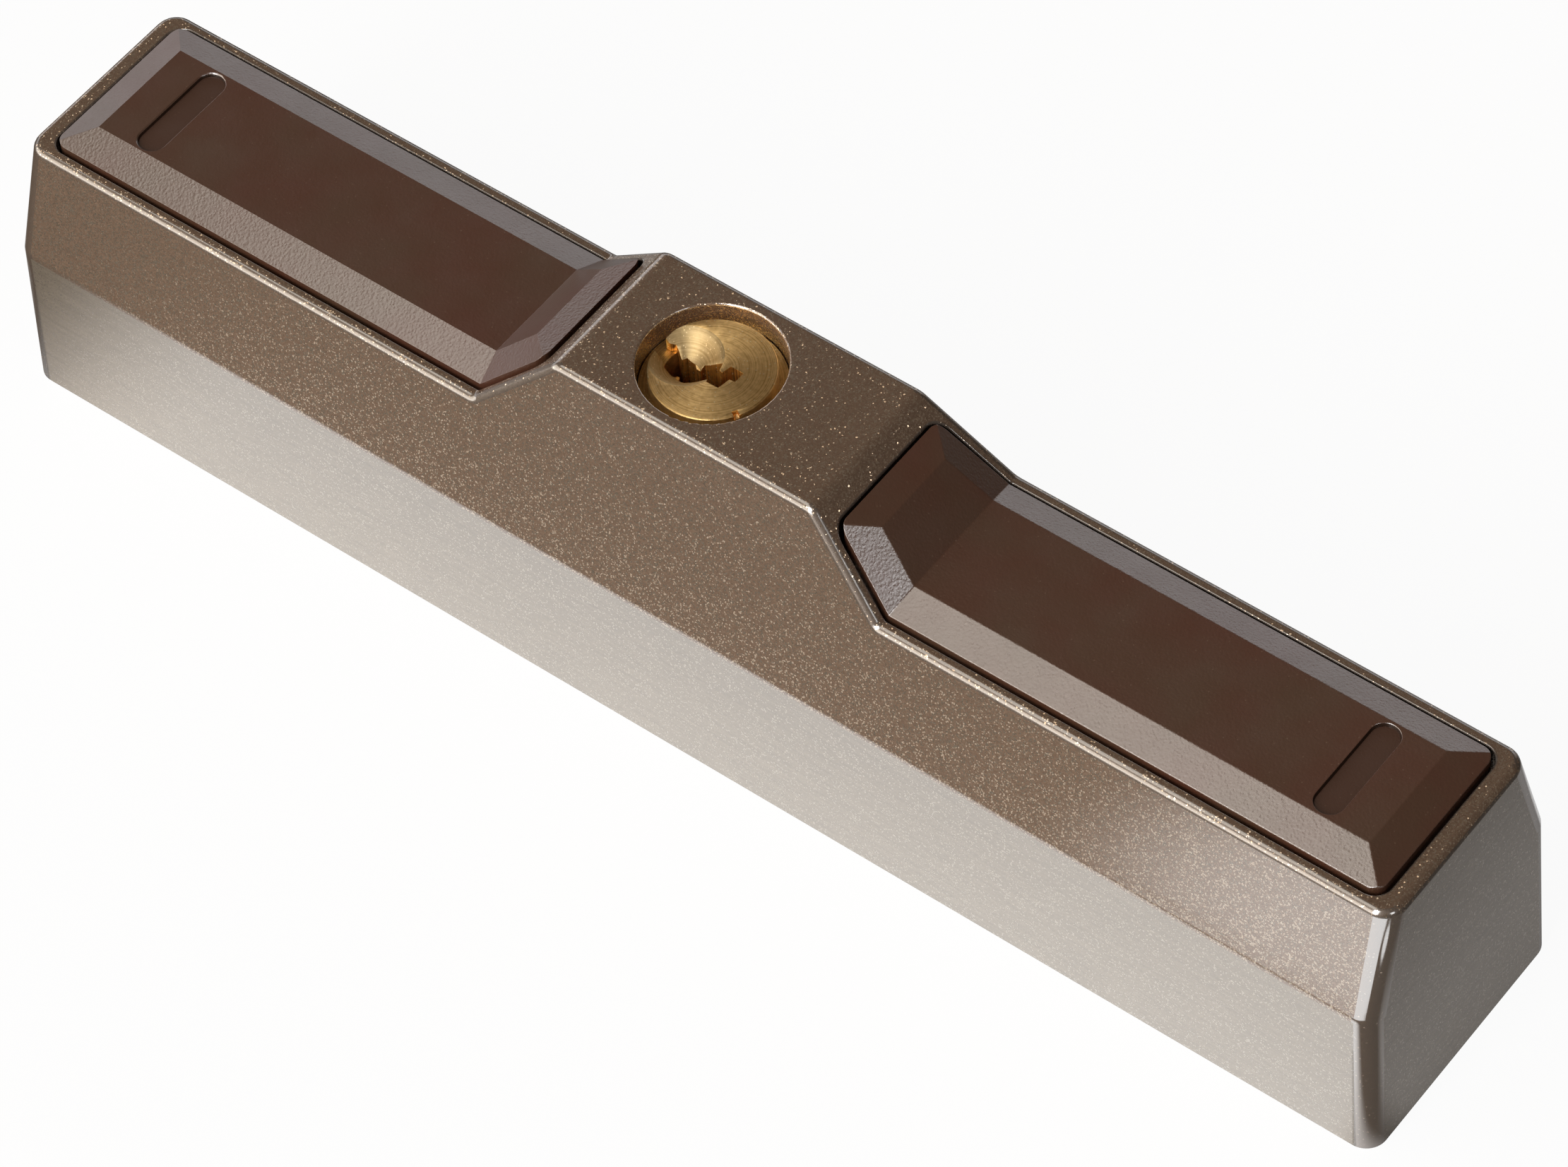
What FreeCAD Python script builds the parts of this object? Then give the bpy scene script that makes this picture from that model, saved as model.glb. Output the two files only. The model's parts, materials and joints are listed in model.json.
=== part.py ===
"""Surface-mounted window security lock: a long faceted die-cast case with a raised middle
that carries a key cylinder, two snap-in screw covers, and two steel bolts inside.

Frame, in millimetres: X along the case, Y across it towards the bolts, Z up from the mounting
face. The origin is the centre of the mounting face. At rest the bolts are drawn in.
"""
import FreeCAD
import Part

import math
import os

from FreeCAD import Vector

# Case: outer form
BASE_LENGTH = 160.0          # at the mounting face
BASE_WIDTH = 29.1
END_DRAFT = 1.4              # how far each end leans in, from the mounting face to the wing top
SHOULDER_WIDTH = 28.4        # where the steep lower wall turns into the leaning facet
SHOULDER_HEIGHT = 18.8
WING_HEIGHT = 31.1
HUMP_RISE = 8.4              # raised middle above the wings
HUMP_TOP_LENGTH = 29.4
HUMP_TOP_WIDTH = 16.84
RAMP_ANGLE = 44.0            # degrees from level
CORNER_RADIUS = 2.2          # upright edges at the four corners
RIM_RADIUS = 0.85            # edge between the top and the facets
HUMP_EDGE_RADIUS = 1.8       # where the ramp rolls over on to the hump
FOOT_RADIUS = 0.8            # where the ramp meets the wing
MOUTH_RADIUS = 0.25          # eased edge round the key hole

# Case: walls and inside
WALL = 2.2
END_WALL = 2.6
POCKET_DEPTH = 2.6           # square to the surface that the pocket is sunk into
POCKET_FLOOR = 2.0
SLIDE_HEADROOM = 0.5         # between the slide and the ceiling of its channel
BLOCK_MARGIN = 1.0           # solid metal past the retainer plate's end, under the raised middle

# Screw covers
COVER_GAP = 0.4              # all round, between a cover and its pocket
COVER_END = 2.4              # case end to cover end, at the wing top
COVER_SIDE = 1.56            # case edge to cover edge, across the wing
COVER_EDGE_PROUD = 0.37      # cover edge above the case
COVER_RAMP_SHARE = 0.76      # share of the ramp's length that the cover climbs
COVER_TAPER = 0.30           # each side draws in by this for each unit of climb
BEVEL_WIDTH = 3.2
BEVEL_RISE = 1.27
COVER_CORNER_RADIUS = 1.4
COVER_WALL = 1.6
BADGE_WIDTH = 3.0            # bare sunk oval near the outer end
BADGE_LENGTH = 11.8
BADGE_DEPTH = 0.3
BADGE_FROM_END = 8.5
HOOK_FROM_POST = 11.0        # snap hooks, measured inwards from the two screw posts
HOOK_HALF_SPAN = 7.0
HOOK_LENGTH = 4.0
HOOK_THICKNESS = 1.3
HOOK_CATCH = 0.5
HOOK_CATCH_DEPTH = 0.6
HOOK_TIP = 2.2               # hook below its catch
HOOK_CLEARANCE = 0.15

# Screw posts that the mounting screws pass down
POST_FROM_FOOT = 6.6         # near post, outwards from the foot of the ramp
POST_FROM_END = 8.6          # far post, inwards from the wing's end
POST_RADIUS = 4.5
WELL_RADIUS = 5.1
WELL_WALL = 1.5
SEAT_THICKNESS = 3.6         # metal under the mounting screw's head
MOUNT_HOLE_RADIUS = 3.0

# Base plate and its screws
PLATE_THICKNESS = 2.0
PLATE_GAP = 0.15
PLATE_CORNER_RADIUS = 1.6
PLATE_SCREW_FROM_END = 6.4
PLATE_SCREW_FROM_WALL = 3.15
SCREW_RADIUS = 1.5
SCREW_HEAD_RADIUS = 2.8
SCREW_HEAD_DEPTH = 1.3
SCREW_LENGTH = 8.0
HOLE_SPARE = 0.5             # blind screw holes run on past the screw
BOSS_RADIUS = 2.9
BOSS_DROP = 0.1              # ribs and bosses end below the bolt's top
THREAD_CLEARANCE = 0.02
RECESS_LENGTH = 3.1
RECESS_WIDTH = 0.6
RECESS_DEPTH = 0.7

# Cylinder
CYLINDER_X = -2.95           # the cylinder stands off the middle, to leave room for its pins
SHELL_WALL = 1.95
SHELL_CLEARANCE = 0.1
SHELL_FACE_DROP = 2.8        # shell face below the hump top
PLUG_FACE_DROP = 0.8         # plug face below the hump top
PLUG_FACE_RADIUS = 6.0
PLUG_FACE_THICKNESS = 1.95
PLUG_RADIUS = 5.0
PLUG_CLEARANCE = 0.05
PLUG_EDGE_BREAK = 0.15
PIN_BLOCK_WALL = 1.35        # beside the pins
PIN_BLOCK_DROP = 1.3         # pin block below the shell's face
PIN_COUNT = 5
FIRST_PIN_DEPTH = 3.7        # top pin below the shell's face
LAST_PIN_RISE = 3.3          # lowest pin above the shell's bottom
PIN_RADIUS_SHARE = 0.338     # of the distance between two pins
PIN_CLEARANCE = 0.04
PIN_SHEAR_GAP = 0.1          # driver pins stand this far outside the plug's bore
PIN_TIP = 0.6                # cone at the key pins' inner ends
KEY_PIN_INNER = 2.3          # where the key pins stop, in the keyway
DRIVER_PIN_LENGTH = 2.6
CHAMBER_CAP_THICKNESS = 0.8
CHAMBER_CAP_LAP = 0.5
SPRING_ROOM = 3.65
SPRING_END_GAP = 0.1
SPRING_WIRE = 0.34
SPRING_TURNS = 3
KEYWAY_END_WALL = 2.1        # solid plug below the keyway
COUNTERSINK_X = -2.95        # eccentric dish that leads the key in, from the plug axis
COUNTERSINK_Y = -0.2
COUNTERSINK_RADIUS = 3.6
COUNTERSINK_DEPTH = 2.4
INDEX_ANGLE = -31.0          # notch at the plug's rim
INDEX_SIZE = 0.55
KEYWAY = (
    (-6.4, 0.70), (-5.5, 0.70), (-5.1, 1.05), (-4.7, 0.90), (-4.17, 0.57), (-3.83, 1.0),
    (-2.9, 1.0), (-2.5, 0.62), (-2.0, 0.62), (-1.9, 1.1), (0.35, 1.1), (0.65, 0.2), (1.0, 0.1),
    (1.25, 1.15), (2.65, 1.15), (2.65, -0.05), (2.05, -0.15), (1.8, -1.5), (0.45, -1.55),
    (0.2, -1.05), (-2.2, -1.1), (-2.5, -1.45), (-2.95, -1.5), (-3.15, -1.05), (-3.4, -1.05),
    (-3.65, -1.5), (-4.6, -1.45), (-4.9, -1.0), (-6.4, -1.0),
)

# Plug tail, circlip and retainer plate
RETAINER_THICKNESS = 1.5
RETAINER_HALF_WIDTH = 8.6
RETAINER_PAST_SHELL = 1.7    # plate past the barrel, on its plain side
RETAINER_PAST_BLOCK = 5.35   # plate past the pin block
RETAINER_CORNER_RADIUS = 1.0
RETAINER_SCREW_INSET = 2.4
RETAINER_SCREW_RADIUS = 1.0
RETAINER_HEAD_RADIUS = 1.9
RETAINER_HEAD_DEPTH = 0.9
RETAINER_SCREW_LENGTH = 6.0
SLOT_WIDTH = 0.5
SLOT_DEPTH = 0.45
CIRCLIP_WIDTH = 1.1          # ring past the plug
CIRCLIP_THICKNESS = 0.8
CIRCLIP_PLAY = 0.05
CIRCLIP_MOUTH = 2.4
GROOVE_DEPTH = 0.8
ROOM_CLEARANCE = 0.3
PLUG_LIP = 0.5
PLUG_END_PLAY = 0.1
NECK_STEP = 1.6              # neck's radius below the plug's
NECK_CLEARANCE = 0.15
TAIL_ACROSS = 4.6
TAIL_CLEARANCE = 0.05
TAIL_ABOVE_PLATE = 2.0
SOCKET_SPARE = 0.2

# Drive
SIDE_CLEARANCE = 0.25
LIFT_CLEARANCE = 0.2
BOLT_THICKNESS = 8.0
SLIDE_THICKNESS = 2.5
GEAR_MODULE = 1.0
GEAR_TEETH = 14              # in a full circle; only the working teeth are cut
SECTOR_FIRST = 55.0          # degrees, ends of the toothed sector at rest
SECTOR_LAST = 208.0
RACK_DIRECTION = 90.0        # degrees, from the pinion's axis to the rack
KEY_TURN = 90.0              # degrees of key turn for the full throw
RACK_ADDENDUM = 0.75
GEAR_ADDENDUM = 0.8
GEAR_DEDENDUM = 1.05
PRESSURE_ANGLE = 20.0
BACKLASH = 0.14
HUB_WALL = 0.95              # over the corners of the square socket
RACK_BACK = 2.35             # slide metal behind the rack's tooth spaces
WINDOW_CLEARANCE = 0.8       # round the pinion
SLIDE_CORNER_RADIUS = 1.5
SLIDE_END = 1.8              # slide metal past the last bolt slot
BOLT_WIDTH_SHARE = 0.5       # of the distance between a bolt's two screw posts
BOLT_TAIL = 3.0              # bolt metal behind its pin
BOLT_RECESS = 0.4            # bolt nose inside the case wall when drawn in
BOLT_NOSE_BEVEL = 1.2
BOLT_PIN_RADIUS = 2.0
BOLT_PIN_DEPTH = 5.0         # how deep the pin is pressed into the bolt
PIN_SLOT_CLEARANCE = 0.12
RIB_THICKNESS = 2.0
WINDOW_HEADROOM = 0.2

# Cutters run past the faces that they cut by this, and faces closer than TOUCH are one
OVERCUT = 1.0
TOUCH = 0.01

# Worked out from the sizes above
HALF_LENGTH = BASE_LENGTH / 2
TOP_HALF_LENGTH = HALF_LENGTH - END_DRAFT
RAMP = math.radians(RAMP_ANGLE)
HUMP_HEIGHT = WING_HEIGHT + HUMP_RISE
LEAN = (SHOULDER_WIDTH - HUMP_TOP_WIDTH) / 2 / (HUMP_HEIGHT - SHOULDER_HEIGHT)
HUMP_TOP_HALF = HUMP_TOP_LENGTH / 2
FOOT_X = HUMP_TOP_HALF + HUMP_RISE / math.tan(RAMP)
COVER_RAMP_LENGTH = COVER_RAMP_SHARE * HUMP_RISE / math.sin(RAMP)
POST_NEAR = FOOT_X + POST_FROM_FOOT
POST_FAR = TOP_HALF_LENGTH - POST_FROM_END
POST_PLACES = (POST_NEAR, POST_FAR)
HOOK_PLACES = (POST_NEAR + HOOK_FROM_POST, POST_FAR - HOOK_FROM_POST)
BOLT_X = (POST_NEAR + POST_FAR) / 2
BOLT_WIDTH = BOLT_WIDTH_SHARE * (POST_FAR - POST_NEAR)
PITCH_RADIUS = GEAR_MODULE * GEAR_TEETH / 2
THROW = PITCH_RADIUS * math.radians(KEY_TURN)
PIN_SLOT_HALF = THROW / 2
PLATE_TOP = PLATE_THICKNESS
BOLT_BOTTOM = PLATE_TOP + LIFT_CLEARANCE
BOLT_TOP = BOLT_BOTTOM + BOLT_THICKNESS
BOSS_TOP = BOLT_TOP - BOSS_DROP
SLIDE_BOTTOM = BOLT_TOP + LIFT_CLEARANCE
SLIDE_TOP = SLIDE_BOTTOM + SLIDE_THICKNESS
CHANNEL_TOP = SLIDE_TOP + SLIDE_HEADROOM
SHELL_BOTTOM = CHANNEL_TOP + RETAINER_THICKNESS
PLUG_FACE = HUMP_HEIGHT - PLUG_FACE_DROP
SHELL_FACE = HUMP_HEIGHT - SHELL_FACE_DROP
SHELL_RADIUS = PLUG_RADIUS + SHELL_WALL
KEY_HOLE_RADIUS = SHELL_RADIUS + SHELL_CLEARANCE
CIRCLIP_RADIUS = PLUG_RADIUS + CIRCLIP_WIDTH
CIRCLIP_BOTTOM = SHELL_BOTTOM + PLUG_END_PLAY + PLUG_LIP + CIRCLIP_PLAY
GROOVE_RADIUS = PLUG_RADIUS - GROOVE_DEPTH
NECK_RADIUS = PLUG_RADIUS - NECK_STEP
TAIL_BOTTOM = PLATE_TOP + TAIL_ABOVE_PLATE
HUB_RADIUS = TAIL_ACROSS / math.sqrt(2) + HUB_WALL
PIN_PITCH = (SHELL_FACE - FIRST_PIN_DEPTH - LAST_PIN_RISE - SHELL_BOTTOM) / (PIN_COUNT - 1)
PIN_RADIUS = PIN_RADIUS_SHARE * PIN_PITCH
KEY_PIN_OUTER = math.sqrt((PLUG_RADIUS - PLUG_CLEARANCE / 2) ** 2 - PIN_RADIUS ** 2)
DRIVER_PIN_INNER = PLUG_RADIUS + PLUG_CLEARANCE + PIN_SHEAR_GAP
PIN_BLOCK_HALF_WIDTH = PIN_RADIUS + PIN_BLOCK_WALL
PIN_BLOCK_REACH = DRIVER_PIN_INNER + DRIVER_PIN_LENGTH + SPRING_ROOM + CHAMBER_CAP_THICKNESS
PIN_BLOCK_TOP = SHELL_FACE - PIN_BLOCK_DROP
RETAINER_LEFT = CYLINDER_X - SHELL_RADIUS - RETAINER_PAST_SHELL
RETAINER_RIGHT = CYLINDER_X + PIN_BLOCK_REACH + RETAINER_PAST_BLOCK
WELL_SEAT_HEIGHT = CHANNEL_TOP + SEAT_THICKNESS
POST_HEAD_RADIUS = WELL_RADIUS + WELL_WALL
SLIDE_HALF_WIDTH = PITCH_RADIUS + GEAR_DEDENDUM + RACK_BACK
ABOVE_ALL = HUMP_HEIGHT + BASE_WIDTH


def half_width(z):
    """Half the case's width at height z, on the outer faces."""
    if z <= SHOULDER_HEIGHT:
        return (BASE_WIDTH - (BASE_WIDTH - SHOULDER_WIDTH) * z / SHOULDER_HEIGHT) / 2
    return SHOULDER_WIDTH / 2 - LEAN * (z - SHOULDER_HEIGHT)


def rounded_wire(points, radii):
    """Closed wire through points, each corner rounded by its own radius (0 keeps it sharp)."""
    count = len(points)
    starts, ends = [], []
    for i, (corner, radius) in enumerate(zip(points, radii)):
        back = (points[i - 1] - corner).normalize()
        ahead = (points[(i + 1) % count] - corner).normalize()
        half_turn = back.getAngle(ahead) / 2
        reach = radius / math.tan(half_turn) if radius else 0.0
        starts.append(corner + back * reach)
        ends.append(corner + ahead * reach)
    edges = []
    for i, (corner, radius) in enumerate(zip(points, radii)):
        if radius:
            chord_middle = (starts[i] + ends[i]) / 2
            to_middle = chord_middle - corner
            away = to_middle.Length
            centre_distance = math.hypot(radius, (starts[i] - corner).Length)
            centre = corner + to_middle * (centre_distance / away)
            top = centre - to_middle.normalize() * radius
            edges.append(Part.Arc(starts[i], top, ends[i]).toShape())
        following = (i + 1) % count
        if (starts[following] - ends[i]).Length > 1e-6:
            edges.append(Part.makeLine(ends[i], starts[following]))
    return Part.Wire(edges)


def prism(points, direction, radii=None):
    """Solid swept from the face inside points, along direction."""
    wire = rounded_wire(points, radii or [0.0] * len(points))
    return Part.Face(wire).extrude(direction)


def upright(outline, z_low, z_high, radii=None):
    """Upright prism over an outline of (x, y) pairs."""
    points = [Vector(x, y, z_low) for x, y in outline]
    return prism(points, Vector(0, 0, z_high - z_low), radii)


def across(outline, half, radii=None):
    """Prism with an (x, z) outline, reaching half to each side of the middle plane."""
    points = [Vector(x, -half, z) for x, z in outline]
    return prism(points, Vector(0, 2 * half, 0), radii)


def block(x0, x1, y0, y1, z0, z1):
    """Plain box between two corners."""
    return Part.makeBox(x1 - x0, y1 - y0, z1 - z0, Vector(x0, y0, z0))


def drum(radius, x, y, z0, z1):
    """Upright cylinder."""
    return Part.makeCylinder(radius, z1 - z0, Vector(x, y, z0))


def slot_between(a, b, radius, z_low, z_high):
    """Round-ended slot between two centres."""
    along = Vector(b[0] - a[0], b[1] - a[1], 0)
    side = Vector(-along.y, along.x, 0).normalize() * radius
    start, end = Vector(a[0], a[1], z_low), Vector(b[0], b[1], z_low)
    way = along.normalize() * radius
    edges = [
        Part.makeLine(start + side, end + side),
        Part.Arc(end + side, end + way, end - side).toShape(),
        Part.makeLine(end - side, start - side),
        Part.Arc(start - side, start - way, start + side).toShape(),
    ]
    return Part.Face(Part.Wire(edges)).extrude(Vector(0, 0, z_high - z_low))


def hexahedron(lower, upper):
    """Solid between two four-sided faces whose corners correspond."""
    loops = [lower, upper]
    loops += [(lower[i], lower[(i + 1) % 4], upper[(i + 1) % 4], upper[i]) for i in range(4)]
    faces = [Part.Face(Part.makePolygon(list(loop) + [loop[0]])) for loop in loops]
    return Part.Solid(Part.makeShell(faces))


def fused(shapes):
    """One solid from shapes that touch or overlap, with no seam faces left."""
    return shapes[0].fuse(shapes[1:]).removeSplitter()


def mirrored(shape):
    """The same shape turned half a turn about the upright axis through the origin."""
    return shape.rotated(Vector(0, 0, 0), Vector(0, 0, 1), 180)


def export(name, shape):
    """Write one named piece."""
    shape.exportStep("parts/" + name + ".step")


# Lines of the top surface, seen from the side

def top_line(offset):
    """Right-hand foot and hump corners of the top surface moved out square to itself by offset."""
    shift = offset * math.tan(RAMP / 2)
    foot = (FOOT_X + shift, WING_HEIGHT + offset)
    crown = (HUMP_TOP_HALF + shift, HUMP_HEIGHT + offset)
    return foot, crown


def ramp_point(offset, length):
    """Point on the offset ramp line, this far up from its foot."""
    foot, _ = top_line(offset)
    return foot[0] - length * math.cos(RAMP), foot[1] + length * math.sin(RAMP)


def case_side_outline():
    """Side view of the case with its raised middle, and the radius of each corner."""
    foot, crown = top_line(0.0)
    right = [(HALF_LENGTH, 0.0), (TOP_HALF_LENGTH, WING_HEIGHT), foot, crown]
    radii = [0.0, 0.0, FOOT_RADIUS, HUMP_EDGE_RADIUS]
    left = [(-x, z) for x, z in reversed(right)]
    return right + left, radii + radii[::-1]


def case_section(inset, z_low, z_high):
    """Prism of the case's cross-section drawn in by inset, over the whole length."""
    heights = [z_low]
    if z_low < SHOULDER_HEIGHT < z_high:
        heights.append(SHOULDER_HEIGHT)
    heights.append(z_high)
    near = [(-(half_width(z) - inset), z) for z in heights]
    loop = near + [(-y, z) for y, z in reversed(near)]
    points = [Vector(-BASE_LENGTH, y, z) for y, z in loop]
    return prism(points, Vector(2 * BASE_LENGTH, 0, 0))


def is_corner_edge(edge):
    """True for the upright edges at the four corners of the case."""
    box = edge.BoundBox
    outside = min(abs(box.XMin), abs(box.XMax)) > TOP_HALF_LENGTH - TOUCH
    return outside and box.ZLength > WALL and min(abs(box.YMin), abs(box.YMax)) > WALL


def is_rim_edge(edge):
    """True for the edges between the top surfaces and the facets or ends."""
    box = edge.BoundBox
    if box.ZMin < WING_HEIGHT - TOUCH:
        return False
    runs_across = box.YLength > BASE_WIDTH / 4 and abs(box.Center.x) < FOOT_X + FOOT_RADIUS
    return not runs_across


def case_outer():
    """Outer form of the case, with its rounded edges."""
    outline, radii = case_side_outline()
    side_view = across(outline, BASE_WIDTH, radii)
    body = side_view.common(case_section(0.0, 0.0, ABOVE_ALL))
    body = body.makeFillet(CORNER_RADIUS, [e for e in body.Edges if is_corner_edge(e)])
    return body.makeFillet(RIM_RADIUS, [e for e in body.Edges if is_rim_edge(e)])


# Covers

def cover_half_width(z):
    """Half the cover's width where its edge is at height z."""
    climb = max(0.0, z - WING_HEIGHT - COVER_EDGE_PROUD)
    return half_width(WING_HEIGHT) - COVER_SIDE - COVER_TAPER * climb


def cover_outline(grow):
    """Plan view of the right cover made larger all round by grow, and its corner radii."""
    foot, _ = top_line(COVER_EDGE_PROUD)
    ramp_x, ramp_z = ramp_point(COVER_EDGE_PROUD, COVER_RAMP_LENGTH)
    end_x = TOP_HALF_LENGTH - COVER_END + grow
    wide = cover_half_width(foot[1]) + grow
    narrow = cover_half_width(ramp_z) + grow
    near = [(ramp_x - grow, -narrow), (foot[0], -wide), (end_x, -wide)]
    outline = near + [(x, -y) for x, y in reversed(near)]
    corner = COVER_CORNER_RADIUS + grow
    radii = [corner, 0.0, corner]
    return outline, radii + radii[::-1]


def cover_form(drop):
    """Bevelled bar that bends up the ramp, each face drop below the outer one."""
    wall = drop
    edge = COVER_EDGE_PROUD - drop
    flat = COVER_EDGE_PROUD + BEVEL_RISE - drop
    base = -POCKET_DEPTH
    end_x = TOP_HALF_LENGTH - COVER_END - wall
    wide = cover_half_width(WING_HEIGHT) - wall
    edge_foot, flat_foot, base_foot = (top_line(level)[0] for level in (edge, flat, base))
    ramp_length = COVER_RAMP_LENGTH - wall
    edge_top = ramp_point(edge, ramp_length)
    flat_top = ramp_point(flat, ramp_length - BEVEL_WIDTH)
    base_top = ramp_point(base, ramp_length)
    draw_in = COVER_TAPER * ramp_length * math.sin(RAMP)
    flat_share = (ramp_length - BEVEL_WIDTH) / ramp_length
    flat_wide = wide - BEVEL_WIDTH

    def bar(low, low_end, high, high_end, low_half, high_half):
        """Wing part between two levels."""
        lower = [(low[0], -low_half), (low_end, -low_half), (low_end, low_half), (low[0], low_half)]
        upper = [
            (high[0], -high_half), (high_end, -high_half), (high_end, high_half),
            (high[0], high_half),
        ]
        return hexahedron(
            [Vector(x, y, low[1]) for x, y in lower], [Vector(x, y, high[1]) for x, y in upper]
        )

    def ramp(low, low_top, high, high_top, low_halves, high_halves):
        """Ramp part between two levels; each pair of halves is at the foot and at the top."""
        def face(foot_point, top_point, halves):
            at_foot, at_top = halves
            return [
                Vector(foot_point[0], -at_foot, foot_point[1]),
                Vector(top_point[0], -at_top, top_point[1]),
                Vector(top_point[0], at_top, top_point[1]),
                Vector(foot_point[0], at_foot, foot_point[1]),
            ]
        return hexahedron(face(low, low_top, low_halves), face(high, high_top, high_halves))

    edge_halves = (wide, wide - draw_in)
    flat_halves = (flat_wide, flat_wide - draw_in * flat_share)
    return fused([
        bar(edge_foot, end_x, flat_foot, end_x - BEVEL_WIDTH, wide, flat_wide),
        bar(base_foot, end_x, edge_foot, end_x, wide, wide),
        ramp(edge_foot, edge_top, flat_foot, flat_top, edge_halves, flat_halves),
        ramp(base_foot, base_top, edge_foot, edge_top, edge_halves, edge_halves),
    ])


def badge_cutter():
    """Bare oval field sunk into the flat of the cover, near its outer end."""
    x = TOP_HALF_LENGTH - COVER_END - BADGE_FROM_END
    flat = WING_HEIGHT + COVER_EDGE_PROUD + BEVEL_RISE
    reach = (BADGE_LENGTH - BADGE_WIDTH) / 2
    return slot_between((x, -reach), (x, reach), BADGE_WIDTH / 2, flat - BADGE_DEPTH, flat + OVERCUT)


def hook_slot(x, side, grow):
    """Column down through the pocket floor at one snap hook."""
    inner = HOOK_HALF_SPAN - HOOK_THICKNESS - grow
    outer = HOOK_HALF_SPAN + HOOK_CATCH + grow
    half = HOOK_LENGTH / 2 + grow
    low, high = sorted((side * inner, side * outer))
    floor = WING_HEIGHT - POCKET_DEPTH
    return block(x - half, x + half, low, high, floor - POCKET_FLOOR - OVERCUT, floor + TOUCH)


def snap_hook(x, side):
    """Springy leg that drops through its slot and catches under the pocket floor."""
    floor = WING_HEIGHT - POCKET_DEPTH
    under = floor - POCKET_FLOOR - HOOK_CLEARANCE
    tip = under - HOOK_TIP
    y0 = HOOK_HALF_SPAN - HOOK_THICKNESS
    y1 = HOOK_HALF_SPAN
    root = WING_HEIGHT + COVER_EDGE_PROUD + BEVEL_RISE - COVER_WALL
    outline = [
        (y0, tip), (y0 + HOOK_THICKNESS / 2, tip), (y1 + HOOK_CATCH, under - HOOK_CATCH_DEPTH),
        (y1 + HOOK_CATCH, under), (y1, under), (y1, root), (y0, root),
    ]
    points = [Vector(x - HOOK_LENGTH / 2, side * y, z) for y, z in outline]
    return prism(points, Vector(HOOK_LENGTH, 0, 0))


def make_cover():
    """Right-hand screw cover; the left one is the same moulding turned round."""
    outline, radii = cover_outline(0.0)
    trim = upright(outline, 0.0, ABOVE_ALL, radii)
    cover = cover_form(0.0).common(trim).cut(cover_form(COVER_WALL)).cut(badge_cutter())
    hooks = [snap_hook(x, side) for x in HOOK_PLACES for side in (-1, 1)]
    return fused([cover] + hooks)


def cover_pocket():
    """Space sunk into the case for the right cover."""
    outline, radii = cover_outline(COVER_GAP)
    plan = upright(outline, 0.0, ABOVE_ALL, radii)
    foot, crown = top_line(-POCKET_DEPTH)
    above = ABOVE_ALL
    side = [(BASE_LENGTH, foot[1]), (BASE_LENGTH, above), (0.0, above), (0.0, crown[1])]
    side += [crown, foot]
    return across(side, BASE_WIDTH).common(plan)


# Case

def post(x):
    """Post round one mounting screw, with a wider head that holds the slide down."""
    top = WING_HEIGHT - POCKET_DEPTH - POCKET_FLOOR / 2
    return [
        drum(POST_RADIUS, x, 0, PLATE_TOP, top),
        drum(POST_HEAD_RADIUS, x, 0, CHANNEL_TOP, top),
    ]


def wing_hollow():
    """Room above the channel in the right wing, below the cover pocket."""
    foot, crown = top_line(-POCKET_DEPTH - POCKET_FLOOR)
    start = RETAINER_RIGHT + BLOCK_MARGIN
    share = (foot[0] - start) / (foot[0] - crown[0])
    inner_top = foot[1] + share * (crown[1] - foot[1])
    inner_end = TOP_HALF_LENGTH - END_WALL
    side = [(start, CHANNEL_TOP), (inner_end, CHANNEL_TOP), (inner_end, foot[1])]
    side += [foot, (start, inner_top)]
    return across(side, BASE_WIDTH).common(case_section(WALL, 0.0, HUMP_HEIGHT))


def channel():
    """Open channel along the underside that the drive works in."""
    half = HALF_LENGTH - END_WALL
    section = case_section(WALL, -OVERCUT, CHANNEL_TOP)
    return block(-half, half, -BASE_WIDTH, BASE_WIDTH, -OVERCUT, CHANNEL_TOP).common(section)


def bolt_ribs(x):
    """Two cross walls that guide one bolt between them."""
    reach = BOLT_WIDTH / 2 + SIDE_CLEARANCE
    ribs = []
    for side in (-1, 1):
        near, far = sorted((x + side * reach, x + side * (reach + RIB_THICKNESS)))
        wide = half_width(0.0) - WALL / 2
        ribs.append(block(near, far, -wide, wide, PLATE_TOP, BOSS_TOP))
    return ribs


def bolt_window(x):
    """Slot in the far wall that one bolt comes out through."""
    half = BOLT_WIDTH / 2 + SIDE_CLEARANCE
    inner = half_width(0.0) - WALL - OVERCUT
    return block(x - half, x + half, inner, BASE_WIDTH, PLATE_TOP, BOLT_TOP + WINDOW_HEADROOM)


def screw_spots():
    """Centres of the base plate's four screws, one in each corner."""
    x = HALF_LENGTH - PLATE_SCREW_FROM_END
    y = half_width(0.0) - WALL - PLATE_SCREW_FROM_WALL
    return [(end * x, side * y) for end in (-1, 1) for side in (-1, 1)]


def screw_boss(x, y):
    """Boss in a corner of the case for one base plate screw."""
    wall_y = math.copysign(half_width(0.0) - WALL / 2, y)
    low, high = sorted((y, wall_y))
    web = block(x - BOSS_RADIUS, x + BOSS_RADIUS, low, high, PLATE_TOP, BOSS_TOP)
    return [drum(BOSS_RADIUS, x, y, PLATE_TOP, BOSS_TOP), web]


def cylinder_room():
    """Bore for the key cylinder and the slot beside it for its pin block, open below."""
    low = CHANNEL_TOP - OVERCUT
    reach = CYLINDER_X + PIN_BLOCK_REACH + SHELL_CLEARANCE
    half = PIN_BLOCK_HALF_WIDTH + SHELL_CLEARANCE
    bore = drum(KEY_HOLE_RADIUS, CYLINDER_X, 0, low, ABOVE_ALL)
    slot = block(CYLINDER_X, reach, -half, half, low, PIN_BLOCK_TOP + SHELL_CLEARANCE)
    return bore.fuse(slot)


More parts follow.
